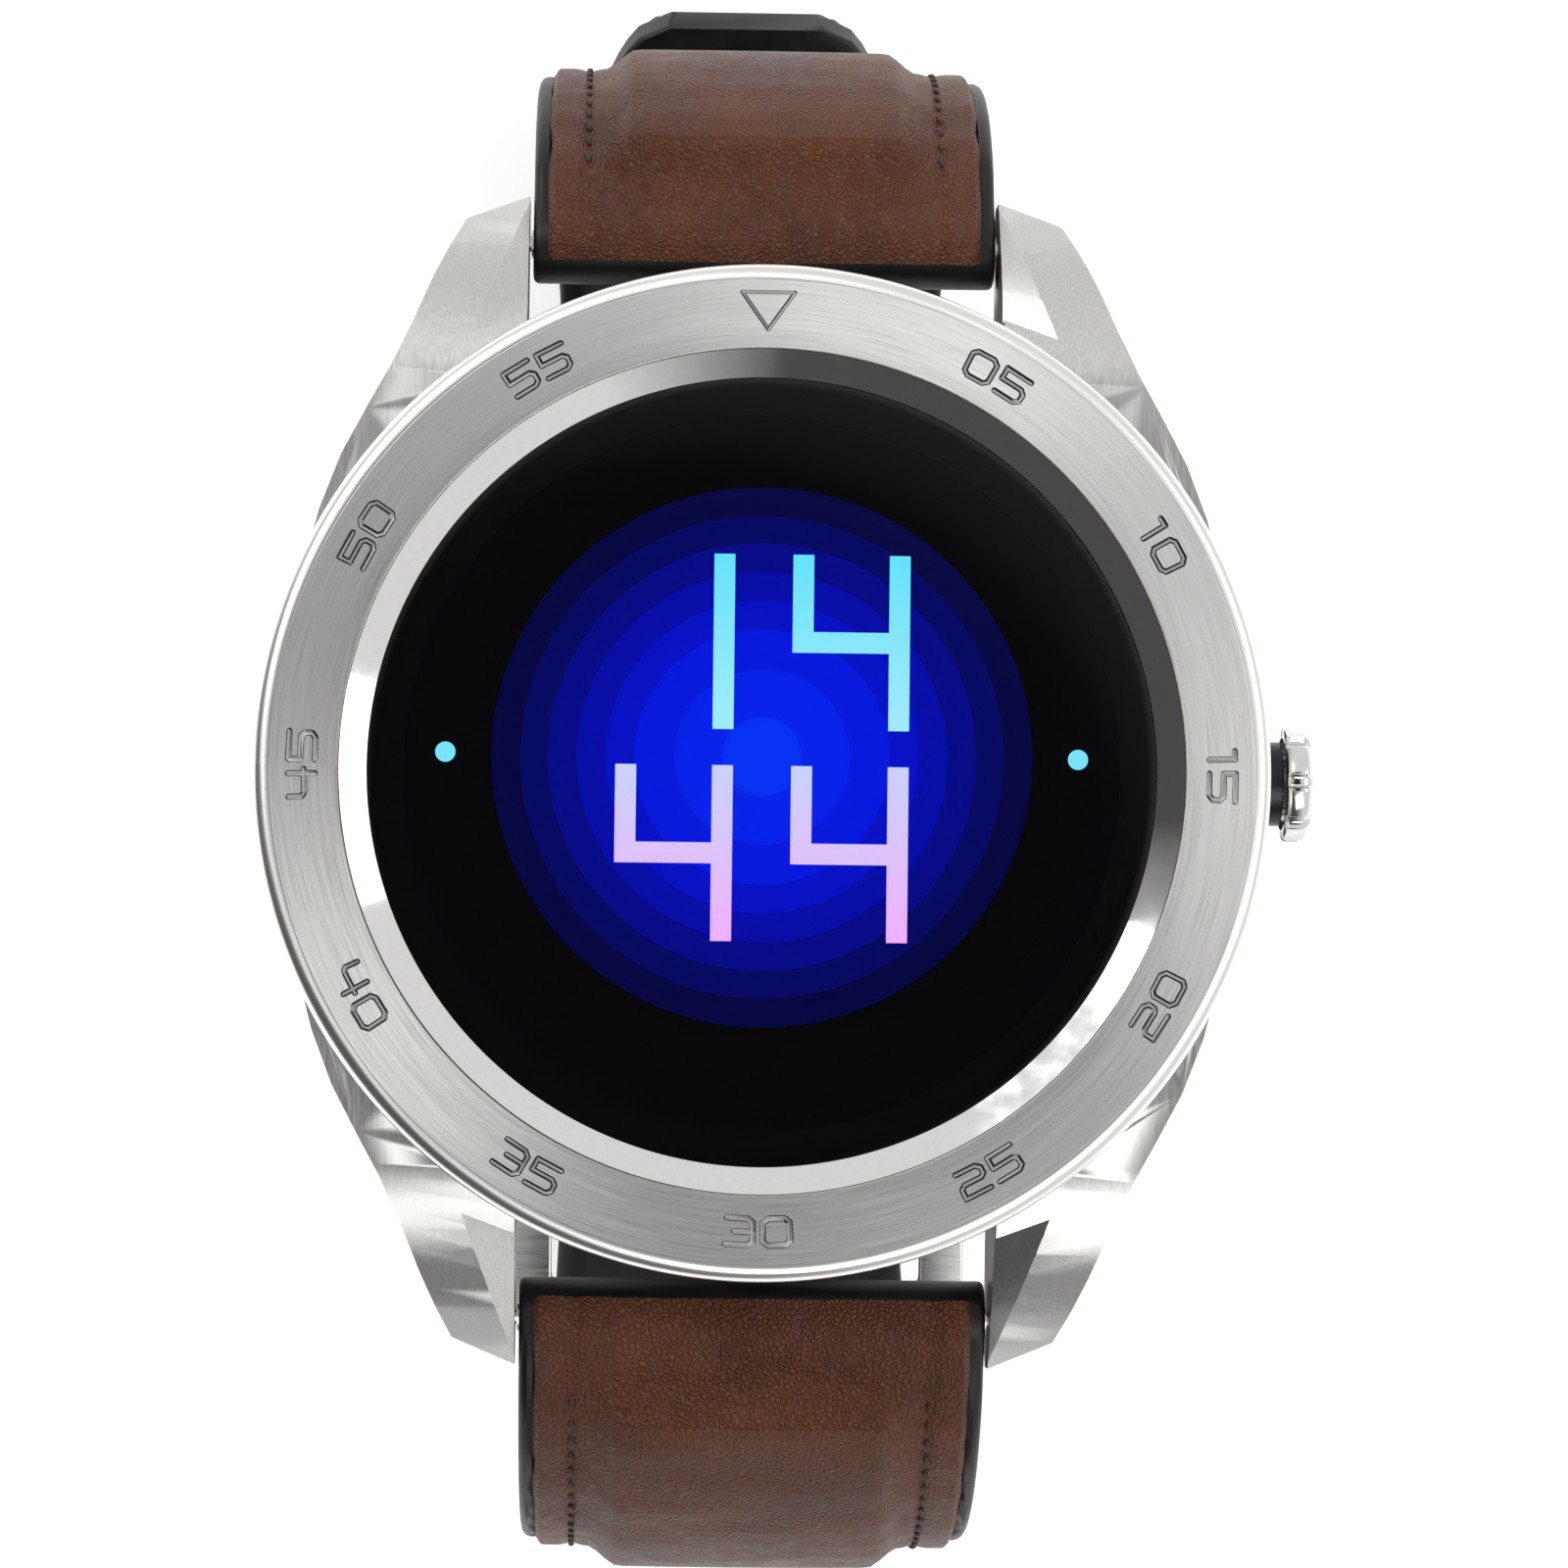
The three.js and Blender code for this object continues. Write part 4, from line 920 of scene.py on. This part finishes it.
def make_buckle():
    half = BUCKLE_THICKNESS / 2
    corner = 2.4
    front = BUCKLE_LENGTH
    inner_front = front - 2.6
    outline = [(-BUCKLE_OUTER_HALF, -1.6), (-BUCKLE_INNER_HALF, -1.6),
               (-BUCKLE_INNER_HALF, inner_front - 0.8)]
    outline += [(-BUCKLE_INNER_HALF + 0.8 - 0.8 * math.cos(math.radians(a)),
                 inner_front - 0.8 + 0.8 * math.sin(math.radians(a))) for a in range(15, 91, 15)]
    outline += [(-x, y) for x, y in reversed(outline)]
    outline += [(BUCKLE_OUTER_HALF - corner + corner * math.cos(math.radians(a)),
                 front - corner + corner * math.sin(math.radians(a))) for a in range(0, 91, 10)]
    outline += [(corner - BUCKLE_OUTER_HALF + corner * math.cos(math.radians(a)),
                 front - corner + corner * math.sin(math.radians(a))) for a in range(90, 181, 10)]
    mesh = cut(prism(outline, -half, half),
               along_x(turned([(0, -11.2), (0.8, -11.2), (0.8, 11.2), (0, 11.2)], 48)))
    mesh = moved(bevelled(mesh, 0.35, 4, 40), buckle_frame_matrix())
    piece("buckle_frame_steel", mesh, STEEL_BUCKLE, "buckle", ["buckle_frame"], 40)
    eye = along_x(turned([(0.83, -1.1), (1.5, -1.1), (1.5, 1.1), (0.83, 1.1)], 48))
    arm = side_prism([(0.9, -0.6), (1.6, -0.6), (9, half + 0.1), (front + 0.2, half + 0.1),
                      (front + 0.2, half + 0.7), (front - 0.8, half + 1.2), (8.6, half + 1.3),
                      (0.95, 1.1)], -1, 1)
    tongue = cut(combined(eye, arm, "UNION"), along_x(turned([(0, -2), (0.83, -2), (0.83, 2), (0, 2)], 48)))
    tongue = moved(bevelled(tongue, 0.22, 3, 40), buckle_frame_matrix())
    piece("buckle_tongue_steel", tongue, STEEL_POLISHED, "tongue", ["buckle_tongue"], 40)


# ---- case -------------------------------------------------------------------------------------

def bezel_height(radius):
    reach = (radius - BEZEL_HOLE_RADIUS) / (BEZEL_FLAT_RADIUS - BEZEL_HOLE_RADIUS)
    return BEZEL_TOP - BEZEL_FALL * reach


# each numeral is a set of strokes in a box 1 wide and 1 high
STROKES = {
    "0": [[(0.18, 0), (0, 0.15), (0, 0.85), (0.18, 1), (0.82, 1), (1, 0.85), (1, 0.15), (0.82, 0),
           (0.18, 0)]],
    "1": [[(0, 0.98), (0.3, 0.98), (0.3, 0)]],
    "2": [[(0, 1), (0.82, 1), (1, 0.85), (1, 0.62), (0.85, 0.5), (0.15, 0.5), (0, 0.38), (0, 0), (1, 0)]],
    "3": [[(0, 1), (0.82, 1), (1, 0.85), (1, 0.15), (0.82, 0), (0, 0)], [(0.3, 0.5), (1, 0.5)]],
    "4": [[(0, 1), (0, 0.5), (0.15, 0.4), (1, 0.4)], [(0.85, 1), (0.85, 0)]],
    "5": [[(1, 1), (0, 1), (0, 0.55), (0.85, 0.55), (1, 0.42), (1, 0.14), (0.82, 0), (0, 0)]],
}
NUMERAL_RADIUS = 20.85
NUMERAL_HEIGHT = 1.2
NUMERAL_WIDTH = 1.22
NARROW_ONE = 0.45  # how much of that width a 1 takes up
NUMERAL_GAP = 0.46
GROOVE = 0.15
TRIANGLE_GROOVE = 0.10


def groove_mesh(paths, radius):
    """Round bars along paths of points; each straight stretch is its own bar."""
    bars = []
    for path in paths:
        for start, end in zip(path, path[1:]):
            start, end = Vector(start), Vector(end)
            length = (end - start).length
            profile = [(0, -radius)] + arc((0, 0), radius, -60, 0, 2) + arc((0, length), radius, 0, 60, 2)
            profile += [(0, length + radius)]
            turn = Vector((0, 0, 1)).rotation_difference(end - start).to_matrix().to_4x4()
            bars.append(moved(turned(profile, 8), Matrix.Translation(start) @ turn))
    return joined(bars)


def numeral_paths(minutes):
    """The strokes of a two-digit number on the bezel, tops outward in the upper half."""
    clock = math.radians(90 - 6 * minutes)
    upward = 1 if math.sin(clock) > -0.2 else -1
    digits = f"{minutes:02d}"
    widths = [NUMERAL_WIDTH * (NARROW_ONE if digit == "1" else 1) for digit in digits]
    starts = [0, widths[0] + NUMERAL_GAP]
    middle = (starts[1] + widths[1]) / 2
    paths = []
    for digit, start in zip(digits, starts):
        for stroke in STROKES[digit]:
            path = []
            for x, y in stroke:
                across = (start + x * NUMERAL_WIDTH - middle) * upward
                radius = NUMERAL_RADIUS + (y - 0.5) * NUMERAL_HEIGHT * upward
                angle = clock - across / NUMERAL_RADIUS
                path.append((radius * math.cos(angle), radius * math.sin(angle), bezel_height(radius) + 0.02))
            paths.append(path)
    return paths


def triangle_path():
    corners = [(-1.2, 21.75), (1.2, 21.75), (0, 20.05), (-1.2, 21.75)]
    return [(x, y, bezel_height(y) + 0.02) for x, y in corners]


def make_bezel():
    band = 0.08
    profile = [(BEZEL_HOLE_RADIUS, BEZEL_BOTTOM), (BEZEL_HOLE_RADIUS, BEZEL_TOP - band),
               (BEZEL_HOLE_RADIUS + band * 0.6, BEZEL_TOP - 0.01)]
    flat_end = BEZEL_FLAT_RADIUS - 0.07
    profile += [(radius, bezel_height(radius)) for radius in (19.7, 20.2, 20.7, 21.2, 21.7, 22.1, flat_end)]
    step = bezel_height(BEZEL_FLAT_RADIUS)
    profile += [(flat_end + 0.03, step - 0.04), (BEZEL_FLAT_RADIUS + 0.01, step - 0.04)]
    profile += arc((BEZEL_RADIUS - 0.72, step - 0.76), 0.72, 86, 0, 8)
    foot = BEZEL_RADIUS - 0.5
    profile += [(BEZEL_RADIUS, 10.25), (BEZEL_RADIUS - 0.06, 10.12), (foot + 0.05, BEZEL_BOTTOM + 0.06),
                (foot, BEZEL_BOTTOM)]
    mesh = turned(profile)
    paths = []
    for minutes in range(5, 60, 5):
        paths += numeral_paths(minutes)
    tools = joined([groove_mesh(paths, GROOVE), groove_mesh([triangle_path()], TRIANGLE_GROOVE)])
    mesh = combined(mesh, tools, "DIFFERENCE")

    def groove_part(face):
        radius = math.hypot(face.center.x, face.center.y)
        below = BEZEL_BOTTOM + 1 < face.center.z < bezel_height(radius) - 0.008
        if not below or not 19.5 < radius < 22.2:
            return 0
        # Steep faces are walls and get the near-black painted shade; flatter faces are floors in a darker,
        # rougher steel
        return 1 if face.normal.z < 0.86 else 2

    piece("bezel_engraved", mesh, STEEL_CIRCULAR, "watch_case", ["bezel_ring"], 24, groove_part)


def make_inner_ring():
    outer = BEZEL_HOLE_RADIUS - 0.005
    low = level("inner_chamfer_ring", False)
    top = BEZEL_TOP - 0.02
    profile = [(GLASS_EDGE_RADIUS, low), (outer, low), (outer, top), (outer - 0.03, top)]
    profile += [(GLASS_EDGE_RADIUS + 0.06, low + 0.07), (GLASS_EDGE_RADIUS, low + 0.03)]
    piece("inner_ring_polished", turned(profile), STEEL_POLISHED, "watch_case",
          ["inner_chamfer_ring"], 20)


def make_glass():
    shoulder = GLASS_EDGE_RADIUS - 0.4
    profile = [(0, GLASS_BOTTOM), (GLASS_RADIUS, GLASS_BOTTOM), (GLASS_RADIUS, GLASS_TOP - 0.2)]
    profile += [(shoulder + 0.8, GLASS_TOP - 0.07), (shoulder, GLASS_TOP), (0, GLASS_TOP)]
    piece("cover_glass_clear", turned(profile), GLASS, "watch_case", ["cover_glass"], 20)
    low = level("display_mask", False)
    high = level("display_mask", True)
    profile = [(16.3, low + 0.02), (16.33, low), (17.9, low), (17.95, low + 0.03), (17.95, high),
               (16.3, high)]
    piece("display_border", turned(profile), MASK_BLACK, "watch_case", ["display_mask"], 30)
    profile = [(0, PANEL_BOTTOM), (PANEL_RADIUS - 0.1, PANEL_BOTTOM), (PANEL_RADIUS, PANEL_BOTTOM + 0.1),
               (PANEL_RADIUS, PANEL_TOP - 0.05), (PANEL_RADIUS - 0.05, PANEL_TOP), (0, PANEL_TOP)]
    piece("display_panel_lit", turned(profile), PANEL_GLOW, "watch_case", ["display_panel"], 30)


def lug_plan(side_x, side_y):
    """One lug seen from above; its flank runs on smoothly from the round case."""
    inner = LUG_GAP / 2
    flank = [(13.9, 26.0), (14.6, 24.6), (15.3, 23.0), (16.2, 20.7), (17.2, 18.5), (18.3, 16.5), (19.4, 14.4),
             (20.35, 11.9), (21.1, 9.0)]
    outline = [(inner, 9), (inner, LUG_TIP)] + flank
    return [(x * side_x, y * side_y) for x, y in outline]


def lug_outline():
    """The lug seen from the crown side, as [y, z] points, its sloping top last."""
    outline = [(8, 1.5), (18, 1.2), (24, 0.9), (LUG_TIP - 0.6, 1.1), (LUG_TIP, 1.7)]
    outline += [(LUG_TIP, 3.6), (26.4, 4.6)] + curve((25.4, 5.6), (22.0, 9.2), (18, 9.5), 8) + [(8, CASE_TOP)]
    return outline


def lug_side(side_y):
    return side_prism([(y * side_y, z) for y, z in lug_outline()], -CASE_RADIUS, CASE_RADIUS)


def lug_top(y):
    """Height of the lug's sloping top."""
    top = lug_outline()[5:]
    for (y1, z1), (y0, z0) in zip(top, top[1:]):
        if y0 <= y <= y1:
            return z0 + (z1 - z0) * (y - y0) / (y1 - y0)
    return top[0][1]


FACET_WIDTH = 2.4
FACET_DEPTH = 1.1
FACET_TIP = 26.9
FACET_CORNER = 21.3  # where the facet meets the gap
FACET_BACK = 20.2  # where its far corner lies


def lug_facet(side_x, side_y):
    """The tool that cuts the three-cornered facet beside the lug's inner edge."""
    inner = LUG_GAP / 2
    verts = []
    steps = 14
    for i in range(steps + 1):
        reach = i / steps
        near_y = FACET_TIP + (FACET_CORNER - FACET_TIP) * reach
        far_y = FACET_TIP + (FACET_BACK - FACET_TIP) * reach
        far_x = inner + 0.05 + FACET_WIDTH * reach
        low = lug_top(near_y) - FACET_DEPTH * reach ** 0.8
        verts += [(inner - 0.5, near_y, low - 0.2), (far_x, far_y, lug_top(far_y) + 0.01),
                  (far_x, far_y, 14), (inner - 0.5, near_y, 14)]
    faces = [[0, 1, 2, 3], [steps * 4 + k for k in (3, 2, 1, 0)]]
    for i in range(steps):
        for k in range(4):
            a, b = i * 4 + k, i * 4 + (k + 1) % 4
            faces.append([a, b, b + 4, a + 4])
    tool = recalculated(mesh_from(verts, faces))
    return moved(tool, Matrix.Diagonal((side_x, side_y, 1, 1)))


def make_case():
    profile = [(CAVITY_RADIUS, CASE_BOTTOM)] + curve((21.1, CASE_BOTTOM), (22.9, 3.2), (CASE_RADIUS, 6.5), 12)
    profile += [(CASE_RADIUS, CASE_TOP), (CAVITY_RADIUS, CASE_TOP)]
    mesh = turned(profile, 192)
    for side_y in (1, -1):
        for side_x in (1, -1):
            lug = combined(prism(lug_plan(side_x, side_y), 0.5, CASE_TOP), lug_side(side_y), "INTERSECT")
            mesh = combined(mesh, cut(lug, lug_facet(side_x, side_y)), "UNION")
        low, high = sorted((GAP_WALL * side_y, 30 * side_y))
        mesh = cut(mesh, block(-LUG_GAP / 2, LUG_GAP / 2, low, high, -1, 14))
        pin = turned([(0, -12.4), (0.46, -12.4), (0.46, 12.4), (0, 12.4)], 32)
        mesh = cut(mesh, along_x(pin, BAR_Y * side_y, BAR_Z))
    for radius, low, high in ((BACK_RADIUS + 0.2, -1, CASE_BOTTOM), (CAVITY_RADIUS, 0, CASE_TOP + 1)):
        mesh = cut(mesh, turned([(0, low), (radius, low), (radius, high), (0, high)], 192))
    mesh = cut(mesh, along_x(turned([(0, 16), (1.55, 16), (1.55, 26), (0, 26)], 48), 0, CROWN_Z))
    mesh = bevelled(mesh, 0.13, 3, 24)
    piece("case_middle_brushed", mesh, STEEL_ALONG, "watch_case", ["case_middle"], 13)


def screw_places():
    return [(SCREW_CIRCLE_RADIUS * math.cos(math.radians(45 + 90 * i)),
             SCREW_CIRCLE_RADIUS * math.sin(math.radians(45 + 90 * i))) for i in range(4)]


def make_back():
    profile = [(8.5, BACK_FACE + 0.45), (WINDOW_RADIUS + 0.1, BACK_FACE + 0.45),
               (WINDOW_RADIUS + 0.1, BACK_FACE + 0.06), (WINDOW_RADIUS + 0.17, BACK_FACE),
               (13.2, BACK_FACE), (13.25, BACK_FACE + 0.07), (13.45, BACK_FACE + 0.07), (13.5, BACK_FACE),
               (20.0, BACK_FACE), (20.1, BACK_FACE + 0.02), (BACK_RADIUS - 0.05, BACK_FACE + 0.6),
               (BACK_RADIUS, BACK_FACE + 0.7), (BACK_RADIUS, BACK_TOP), (8.5, BACK_TOP)]
    mesh = turned(profile, 192)
    pockets = []
    for x, y in screw_places():
        outline = [(0, -1), (1.12, -1), (1.05, BACK_FACE + 0.08), (1.05, 1.1), (0.66, 1.1), (0.66, 3), (0, 3)]
        pockets.append(shifted(turned(outline, 40), x, y))
    for x in (-2.5, 2.5):
        pockets.append(shifted(turned([(0, -1), (1.1, -1), (1.1, 3), (0, 3)], 40), x, -14.5))
    mesh = cut(mesh, joined(pockets))
    piece("case_back_brushed", mesh, STEEL_CIRCULAR, "watch_case", ["case_back"], 26)
    for i, (x, y) in enumerate(screw_places()):
        profile = [(0, 0.5), (0.82, 0.5)] + arc((0.83, 0.62), 0.12, -80, 0, 4)
        profile += [(0.95, 1.05), (0.55, 1.05), (0.55, 4.3), (0, 4.3)]
        slot = block(-0.97, 0.97, -0.14, 0.14, 0, 0.75)
        slot.transform(Matrix.Rotation(math.radians(20 + 47 * i), 4, "Z"))
        mesh = shifted(cut(turned(profile, 40), slot), x, y)
        piece(f"back_screw_{i + 1}", mesh, STEEL_POLISHED, "watch_case",
              [f"case_back_screw_{i + 1}"], 30)
    profile = [(0, 0), (10.3, 0)]
    profile += [(10.62, 0.06), (10.86, 0.2), (WINDOW_RADIUS, 0.45), (WINDOW_RADIUS, 0.84), (0, 0.84)]
    piece("sensor_window_glass", turned(profile, 128), SENSOR_GLASS, "watch_case",
          ["sensor_window"], 30)
    for i, x in enumerate((-2.5, 2.5)):
        profile = [(0, 0.3), (0.72, 0.3)] + arc((0.76, 0.52), 0.22, -80, 0, 4) + [(1, 2.1), (0, 2.1)]
        piece(f"charging_pin_{i + 1}", shifted(turned(profile, 40), x, -14.5), GOLD, "watch_case",
              [f"charging_contact_{i + 1}"], 30)


# ---- crown ------------------------------------------------------------------------------------

FLUTES = 8
FLUTE_SHARE = 0.11  # depth of a flute as a share of the radius


def make_crown():
    profile = [(2.15, CROWN_SKIRT), (CROWN_RADIUS - 0.22, CROWN_SKIRT),
               (CROWN_RADIUS - 0.08, CROWN_SKIRT + 0.06), (CROWN_RADIUS, CROWN_SKIRT + 0.2),
               (CROWN_RADIUS, CROWN_END - 0.55), (CROWN_RADIUS - 0.07, CROWN_END - 0.38),
               (CROWN_RADIUS - 0.25, CROWN_END - 0.22), (CROWN_RADIUS - 0.6, CROWN_END - 0.1),
               (1.6, CROWN_END - 0.03), (0.8, CROWN_END), (0, CROWN_END)]
    inner = [(0, 25.2), (0.9, 25.2), (0.9, 24.75), (2.15, 24.75)]
    fluted = turned(inner + profile, 288)
    for vertex in fluted.vertices:
        radius = math.hypot(vertex.co.x, vertex.co.y)
        if radius < 1.9 or vertex.co.z < CROWN_SKIRT + 0.01 and radius < 2.2:
            continue
        wave = math.cos(FLUTES * math.atan2(vertex.co.y, vertex.co.x))
        shrink = 1 - FLUTE_SHARE * smoothstep(wave, 0.45, 0.85) * smoothstep(radius, 1.9, 2.5)
        vertex.co.x *= shrink
        vertex.co.y *= shrink
    piece("crown_fluted", along_x(fluted, 0, CROWN_Z), STEEL_CROWN, "crown",
          ["crown_head"], 30)
    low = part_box("crown_tube")[0].x / MM
    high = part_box("crown_tube")[1].x / MM
    start = CASE_RADIUS + 0.05
    profile = [(0.93, low), (1.5, low), (1.5, start), (1.89, start), (1.95, start + 0.06),
               (1.95, high - 0.06), (1.89, high), (0.93, high)]
    piece("crown_sleeve", along_x(turned(profile, 96), 0, CROWN_Z), STEEL_BLACK, "watch_case",
          ["crown_tube"], 30)


# ---- what the display shows -------------------------------------------------------------------

LINE_WIDTH = 0.95
LIT_LIFT = 0.035


def ribbon(path, width, z):
    """A flat line with mitred corners."""
    half = width / 2
    points = [Vector(p) for p in path]
    left, right = [], []
    for i, point in enumerate(points):
        before = (point - points[i - 1]).normalized() if i else None
        after = (points[i + 1] - point).normalized() if i + 1 < len(points) else None
        direction = ((before or after) + (after or before)).normalized()
        normal = Vector((-direction.y, direction.x))
        stretch = 1 / max(0.35, normal.dot(Vector((-(after or before).y, (after or before).x))))
        left.append(point + normal * half * stretch)
        right.append(point - normal * half * stretch)
    outline = [tuple(p) for p in left] + [tuple(p) for p in reversed(right)]
    meshes = []
    count = len(points)
    for i in range(count - 1):
        quad = [outline[i], outline[i + 1], outline[2 * count - 2 - i], outline[2 * count - 1 - i]]
        meshes.append(prism(quad, z, z + LIT_LIFT))
    return joined(meshes)


# plain seven-segment digits, as any digital clock has them
DIGIT_WIDTH = 4.4
DIGIT_HEIGHT = 8.0
DIGIT_MIDDLE = DIGIT_HEIGHT / 2
DIGIT_LEFT = 1.8  # from the display's middle line to the nearer side of a digit
UPRIGHT = [(DIGIT_WIDTH, 0), (DIGIT_WIDTH, DIGIT_HEIGHT)]
DIGIT_ONE = [UPRIGHT]
DIGIT_FOUR = [UPRIGHT, [(0, DIGIT_HEIGHT), (0, DIGIT_MIDDLE), (DIGIT_WIDTH - LINE_WIDTH / 2, DIGIT_MIDDLE)]]


def make_display():
    """Seven-segment digits in two rows, with a dot at each side."""
    z = PANEL_TOP + 0.012
    cyan = lit_line("lit_cyan", (0.36, 0.86, 1.0), (0.09, 0.78, 1.0), 1.9, 10.5, 1.0)
    lilac = lit_line("lit_lilac", (0.92, 0.42, 0.98), (0.60, 0.66, 1.0), -8.2, 0.1, 1.0)
    blue = lit_line("lit_dot", (0.18, 0.80, 1.0), (0.18, 0.80, 1.0), 0, 1, 1.0)
    rows = [
        ("top", 1.95, cyan, [(DIGIT_ONE, -DIGIT_LEFT - DIGIT_WIDTH), (DIGIT_FOUR, DIGIT_LEFT)]),
        ("bottom", -7.7, lilac, [(DIGIT_FOUR, -DIGIT_LEFT - DIGIT_WIDTH), (DIGIT_FOUR, DIGIT_LEFT)]),
    ]
    for name, low, material, digits in rows:
        for i, (paths, left) in enumerate(digits):
            placed = [[(left + x, low + y) for x, y in path] for path in paths]
            mesh = joined([ribbon(path, LINE_WIDTH, z) for path in placed])
            piece(f"display_digit_{name}_{i + 1}", mesh, material, "watch_case", (), 30)
    for side in (-1, 1):
        profile = [(0, z), (0.46, z), (0.46, z + LIT_LIFT), (0, z + LIT_LIFT)]
        dot = shifted(turned(profile, 40), side * 14.4, 0.75)
        piece(f"display_dot_{'right' if side > 0 else 'left'}", dot, blue, "watch_case", (), 30)


# ---- CAD nodes that keep their shape ----------------------------------------------------------

KEPT = {
    "glass_gasket": SEAL_RUBBER, "case_back_gasket": SEAL_RUBBER, "crown_o_ring": SEAL_RUBBER,
    "display_carrier": STEEL_BRIGHT, "display_flex": FLEX_FILM, "midframe": DARK_PLASTIC, "main_pcb": BOARD,
    "battery": FOIL, "battery_pad": FELT, "vibration_motor": STEEL_BRIGHT, "speaker": DARK_PLASTIC,
    "microphone": STEEL_BRIGHT, "sensor_board": BOARD, "green_led_1": LED_GREEN, "green_led_2": LED_GREEN,
    "photodiode": DIODE_DARK, "crown_stem": STEEL_BRIGHT, "crown_clip": STEEL_BRIGHT,
    "crown_spring": STEEL_BRIGHT, "crown_switch": DARK_PLASTIC, "buckle_bar": STEEL_BRIGHT,
}
for place in (12, 6):
    for part in ("tube", "spring", "tip_crown_side", "tip_far_side"):
        KEPT[f"spring_bar_{place}_{part}"] = STEEL_BRIGHT


def dress_kept_nodes():
    for name, material in KEPT.items():
        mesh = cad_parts[name].data
        if len(mesh.materials):
            mesh.materials[0] = material
        else:
            mesh.materials.append(material)


# ---- stage, light and camera ------------------------------------------------------------------

def make_stage():
    floor_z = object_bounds()[0].z
    side = 1.5
    corners = [(-side, -side), (side, -side), (side, side), (-side, side)]
    mesh = bpy.data.meshes.new("floor")
    mesh.from_pydata([(x, y, floor_z - 0.0002) for x, y in corners], [], [[0, 1, 2, 3]])
    n = Nodes("floor_pale")
    grain = n.noise(n.scaled(0.02, 0.02, 0.02), 1.0, 2.0)
    n.link("Base Color", n.mix(grain, (0.93, 0.93, 0.93), (0.95, 0.95, 0.95)))
    n.set(Roughness=0.9, Emission_Strength=0.3)
    n.shader.inputs["Emission Color"].default_value = (1.0, 1.0, 1.0, 1)
    mesh.materials.append(n.material)
    floor = bpy.data.objects.new("floor", mesh)
    bpy.context.scene.collection.objects.link(floor)


def area_light(name, place, target, size, watts, size_y=None):
    data = bpy.data.lights.new(name, "AREA")
    data.shape = "RECTANGLE"
    data.size = size
    data.size_y = size_y or size
    data.energy = watts
    light = bpy.data.objects.new(name, data)
    light.location = place
    direction = Vector(target) - Vector(place)
    light.rotation_euler = direction.to_track_quat("-Z", "Y").to_euler()
    bpy.context.scene.collection.objects.link(light)


DARK_OVERHEAD = ((0.955, 1.0), (0.985, 0.02))  # (height on the sky's dome, brightness) over the glass
DARK_SIDE = (-0.75, -0.62, 0.22)  # the side of the room that the upper right of the inner ring reflects
DARK_SIDE_STOPS = ((0.30, 1.0), (0.66, 0.10))
WORLD_STRENGTH = 0.95


def brightness_ramp(tree, value, stops):
    ramp = tree.nodes.new("ShaderNodeValToRGB")
    tree.links.new(value, ramp.inputs[0])
    for element, (position, grey) in zip(ramp.color_ramp.elements, stops):
        element.position = position
        element.color = (grey, grey, grey, 1)
    return ramp.outputs[0]


def make_light():
    world = bpy.data.worlds.new("studio")
    world.use_nodes = True
    tree = world.node_tree
    background = tree.nodes["Background"]
    direction = tree.nodes.new("ShaderNodeTexCoord").outputs["Generated"]
    height = tree.nodes.new("ShaderNodeSeparateXYZ")
    tree.links.new(direction, height.inputs[0])
    overhead = brightness_ramp(tree, height.outputs[2], DARK_OVERHEAD)
    lean = tree.nodes.new("ShaderNodeVectorMath")
    lean.operation = "DOT_PRODUCT"
    lean.inputs[1].default_value = DARK_SIDE
    tree.links.new(direction, lean.inputs[0])
    side = brightness_ramp(tree, lean.outputs["Value"], DARK_SIDE_STOPS)
    both = tree.nodes.new("ShaderNodeMix")
    both.data_type = "RGBA"
    both.blend_type = "MULTIPLY"
    both.inputs[0].default_value = 1.0
    tree.links.new(overhead, both.inputs[6])
    tree.links.new(side, both.inputs[7])
    tree.links.new(both.outputs[2], background.inputs["Color"])
    background.inputs["Strength"].default_value = WORLD_STRENGTH
    bpy.context.scene.world = world
    centre = (0, 0, 0)
    area_light("key", (-0.32, 0.30, 0.42), centre, 0.34, 1.7)
    area_light("fill", (0.40, 0.05, 0.34), centre, 0.26, 0.5)
    area_light("front", (0.10, -0.34, 0.46), centre, 0.30, 0.9)


CAMERA_DISTANCE = 260
CAMERA_TILT = 3.0  # degrees towards 6 o'clock
CAMERA_SIDE = 1.8  # degrees towards 9 o'clock
CAMERA_ROLL = 0.65
LOOK_AT = (0.95, -0.62)


def make_camera():
    data = bpy.data.cameras.new("camera")
    data.lens = 132
    data.sensor_width = 36
    data.clip_start = 0.01
    data.clip_end = 20
    camera = bpy.data.objects.new("camera", data)
    target = Vector((LOOK_AT[0], LOOK_AT[1], BEZEL_TOP))
    back = Vector((-math.sin(math.radians(CAMERA_SIDE)), -math.sin(math.radians(CAMERA_TILT)), 1))
    back = back.normalized()
    right = Vector((0, 1, 0)).cross(back).normalized()
    turn = Matrix((right, back.cross(right), back)).transposed().to_4x4()
    turn = Matrix.Rotation(math.radians(CAMERA_ROLL), 4, back) @ turn
    camera.location = (target + back * CAMERA_DISTANCE) * MM
    camera.rotation_euler = turn.to_euler()
    bpy.context.scene.collection.objects.link(camera)
    bpy.context.scene.camera = camera


make_camera()
make_stage()
make_light()
bpy.context.scene.view_settings.view_transform = "Standard"
make_case()
make_bezel()
make_inner_ring()
make_glass()
make_display()
make_back()
make_crown()
make_strap()
make_keeper("sliding_keeper", 52, 5, "keeper")
make_keeper("fixed_keeper", 67, 4, "strap_12")
make_buckle()
dress_kept_nodes()
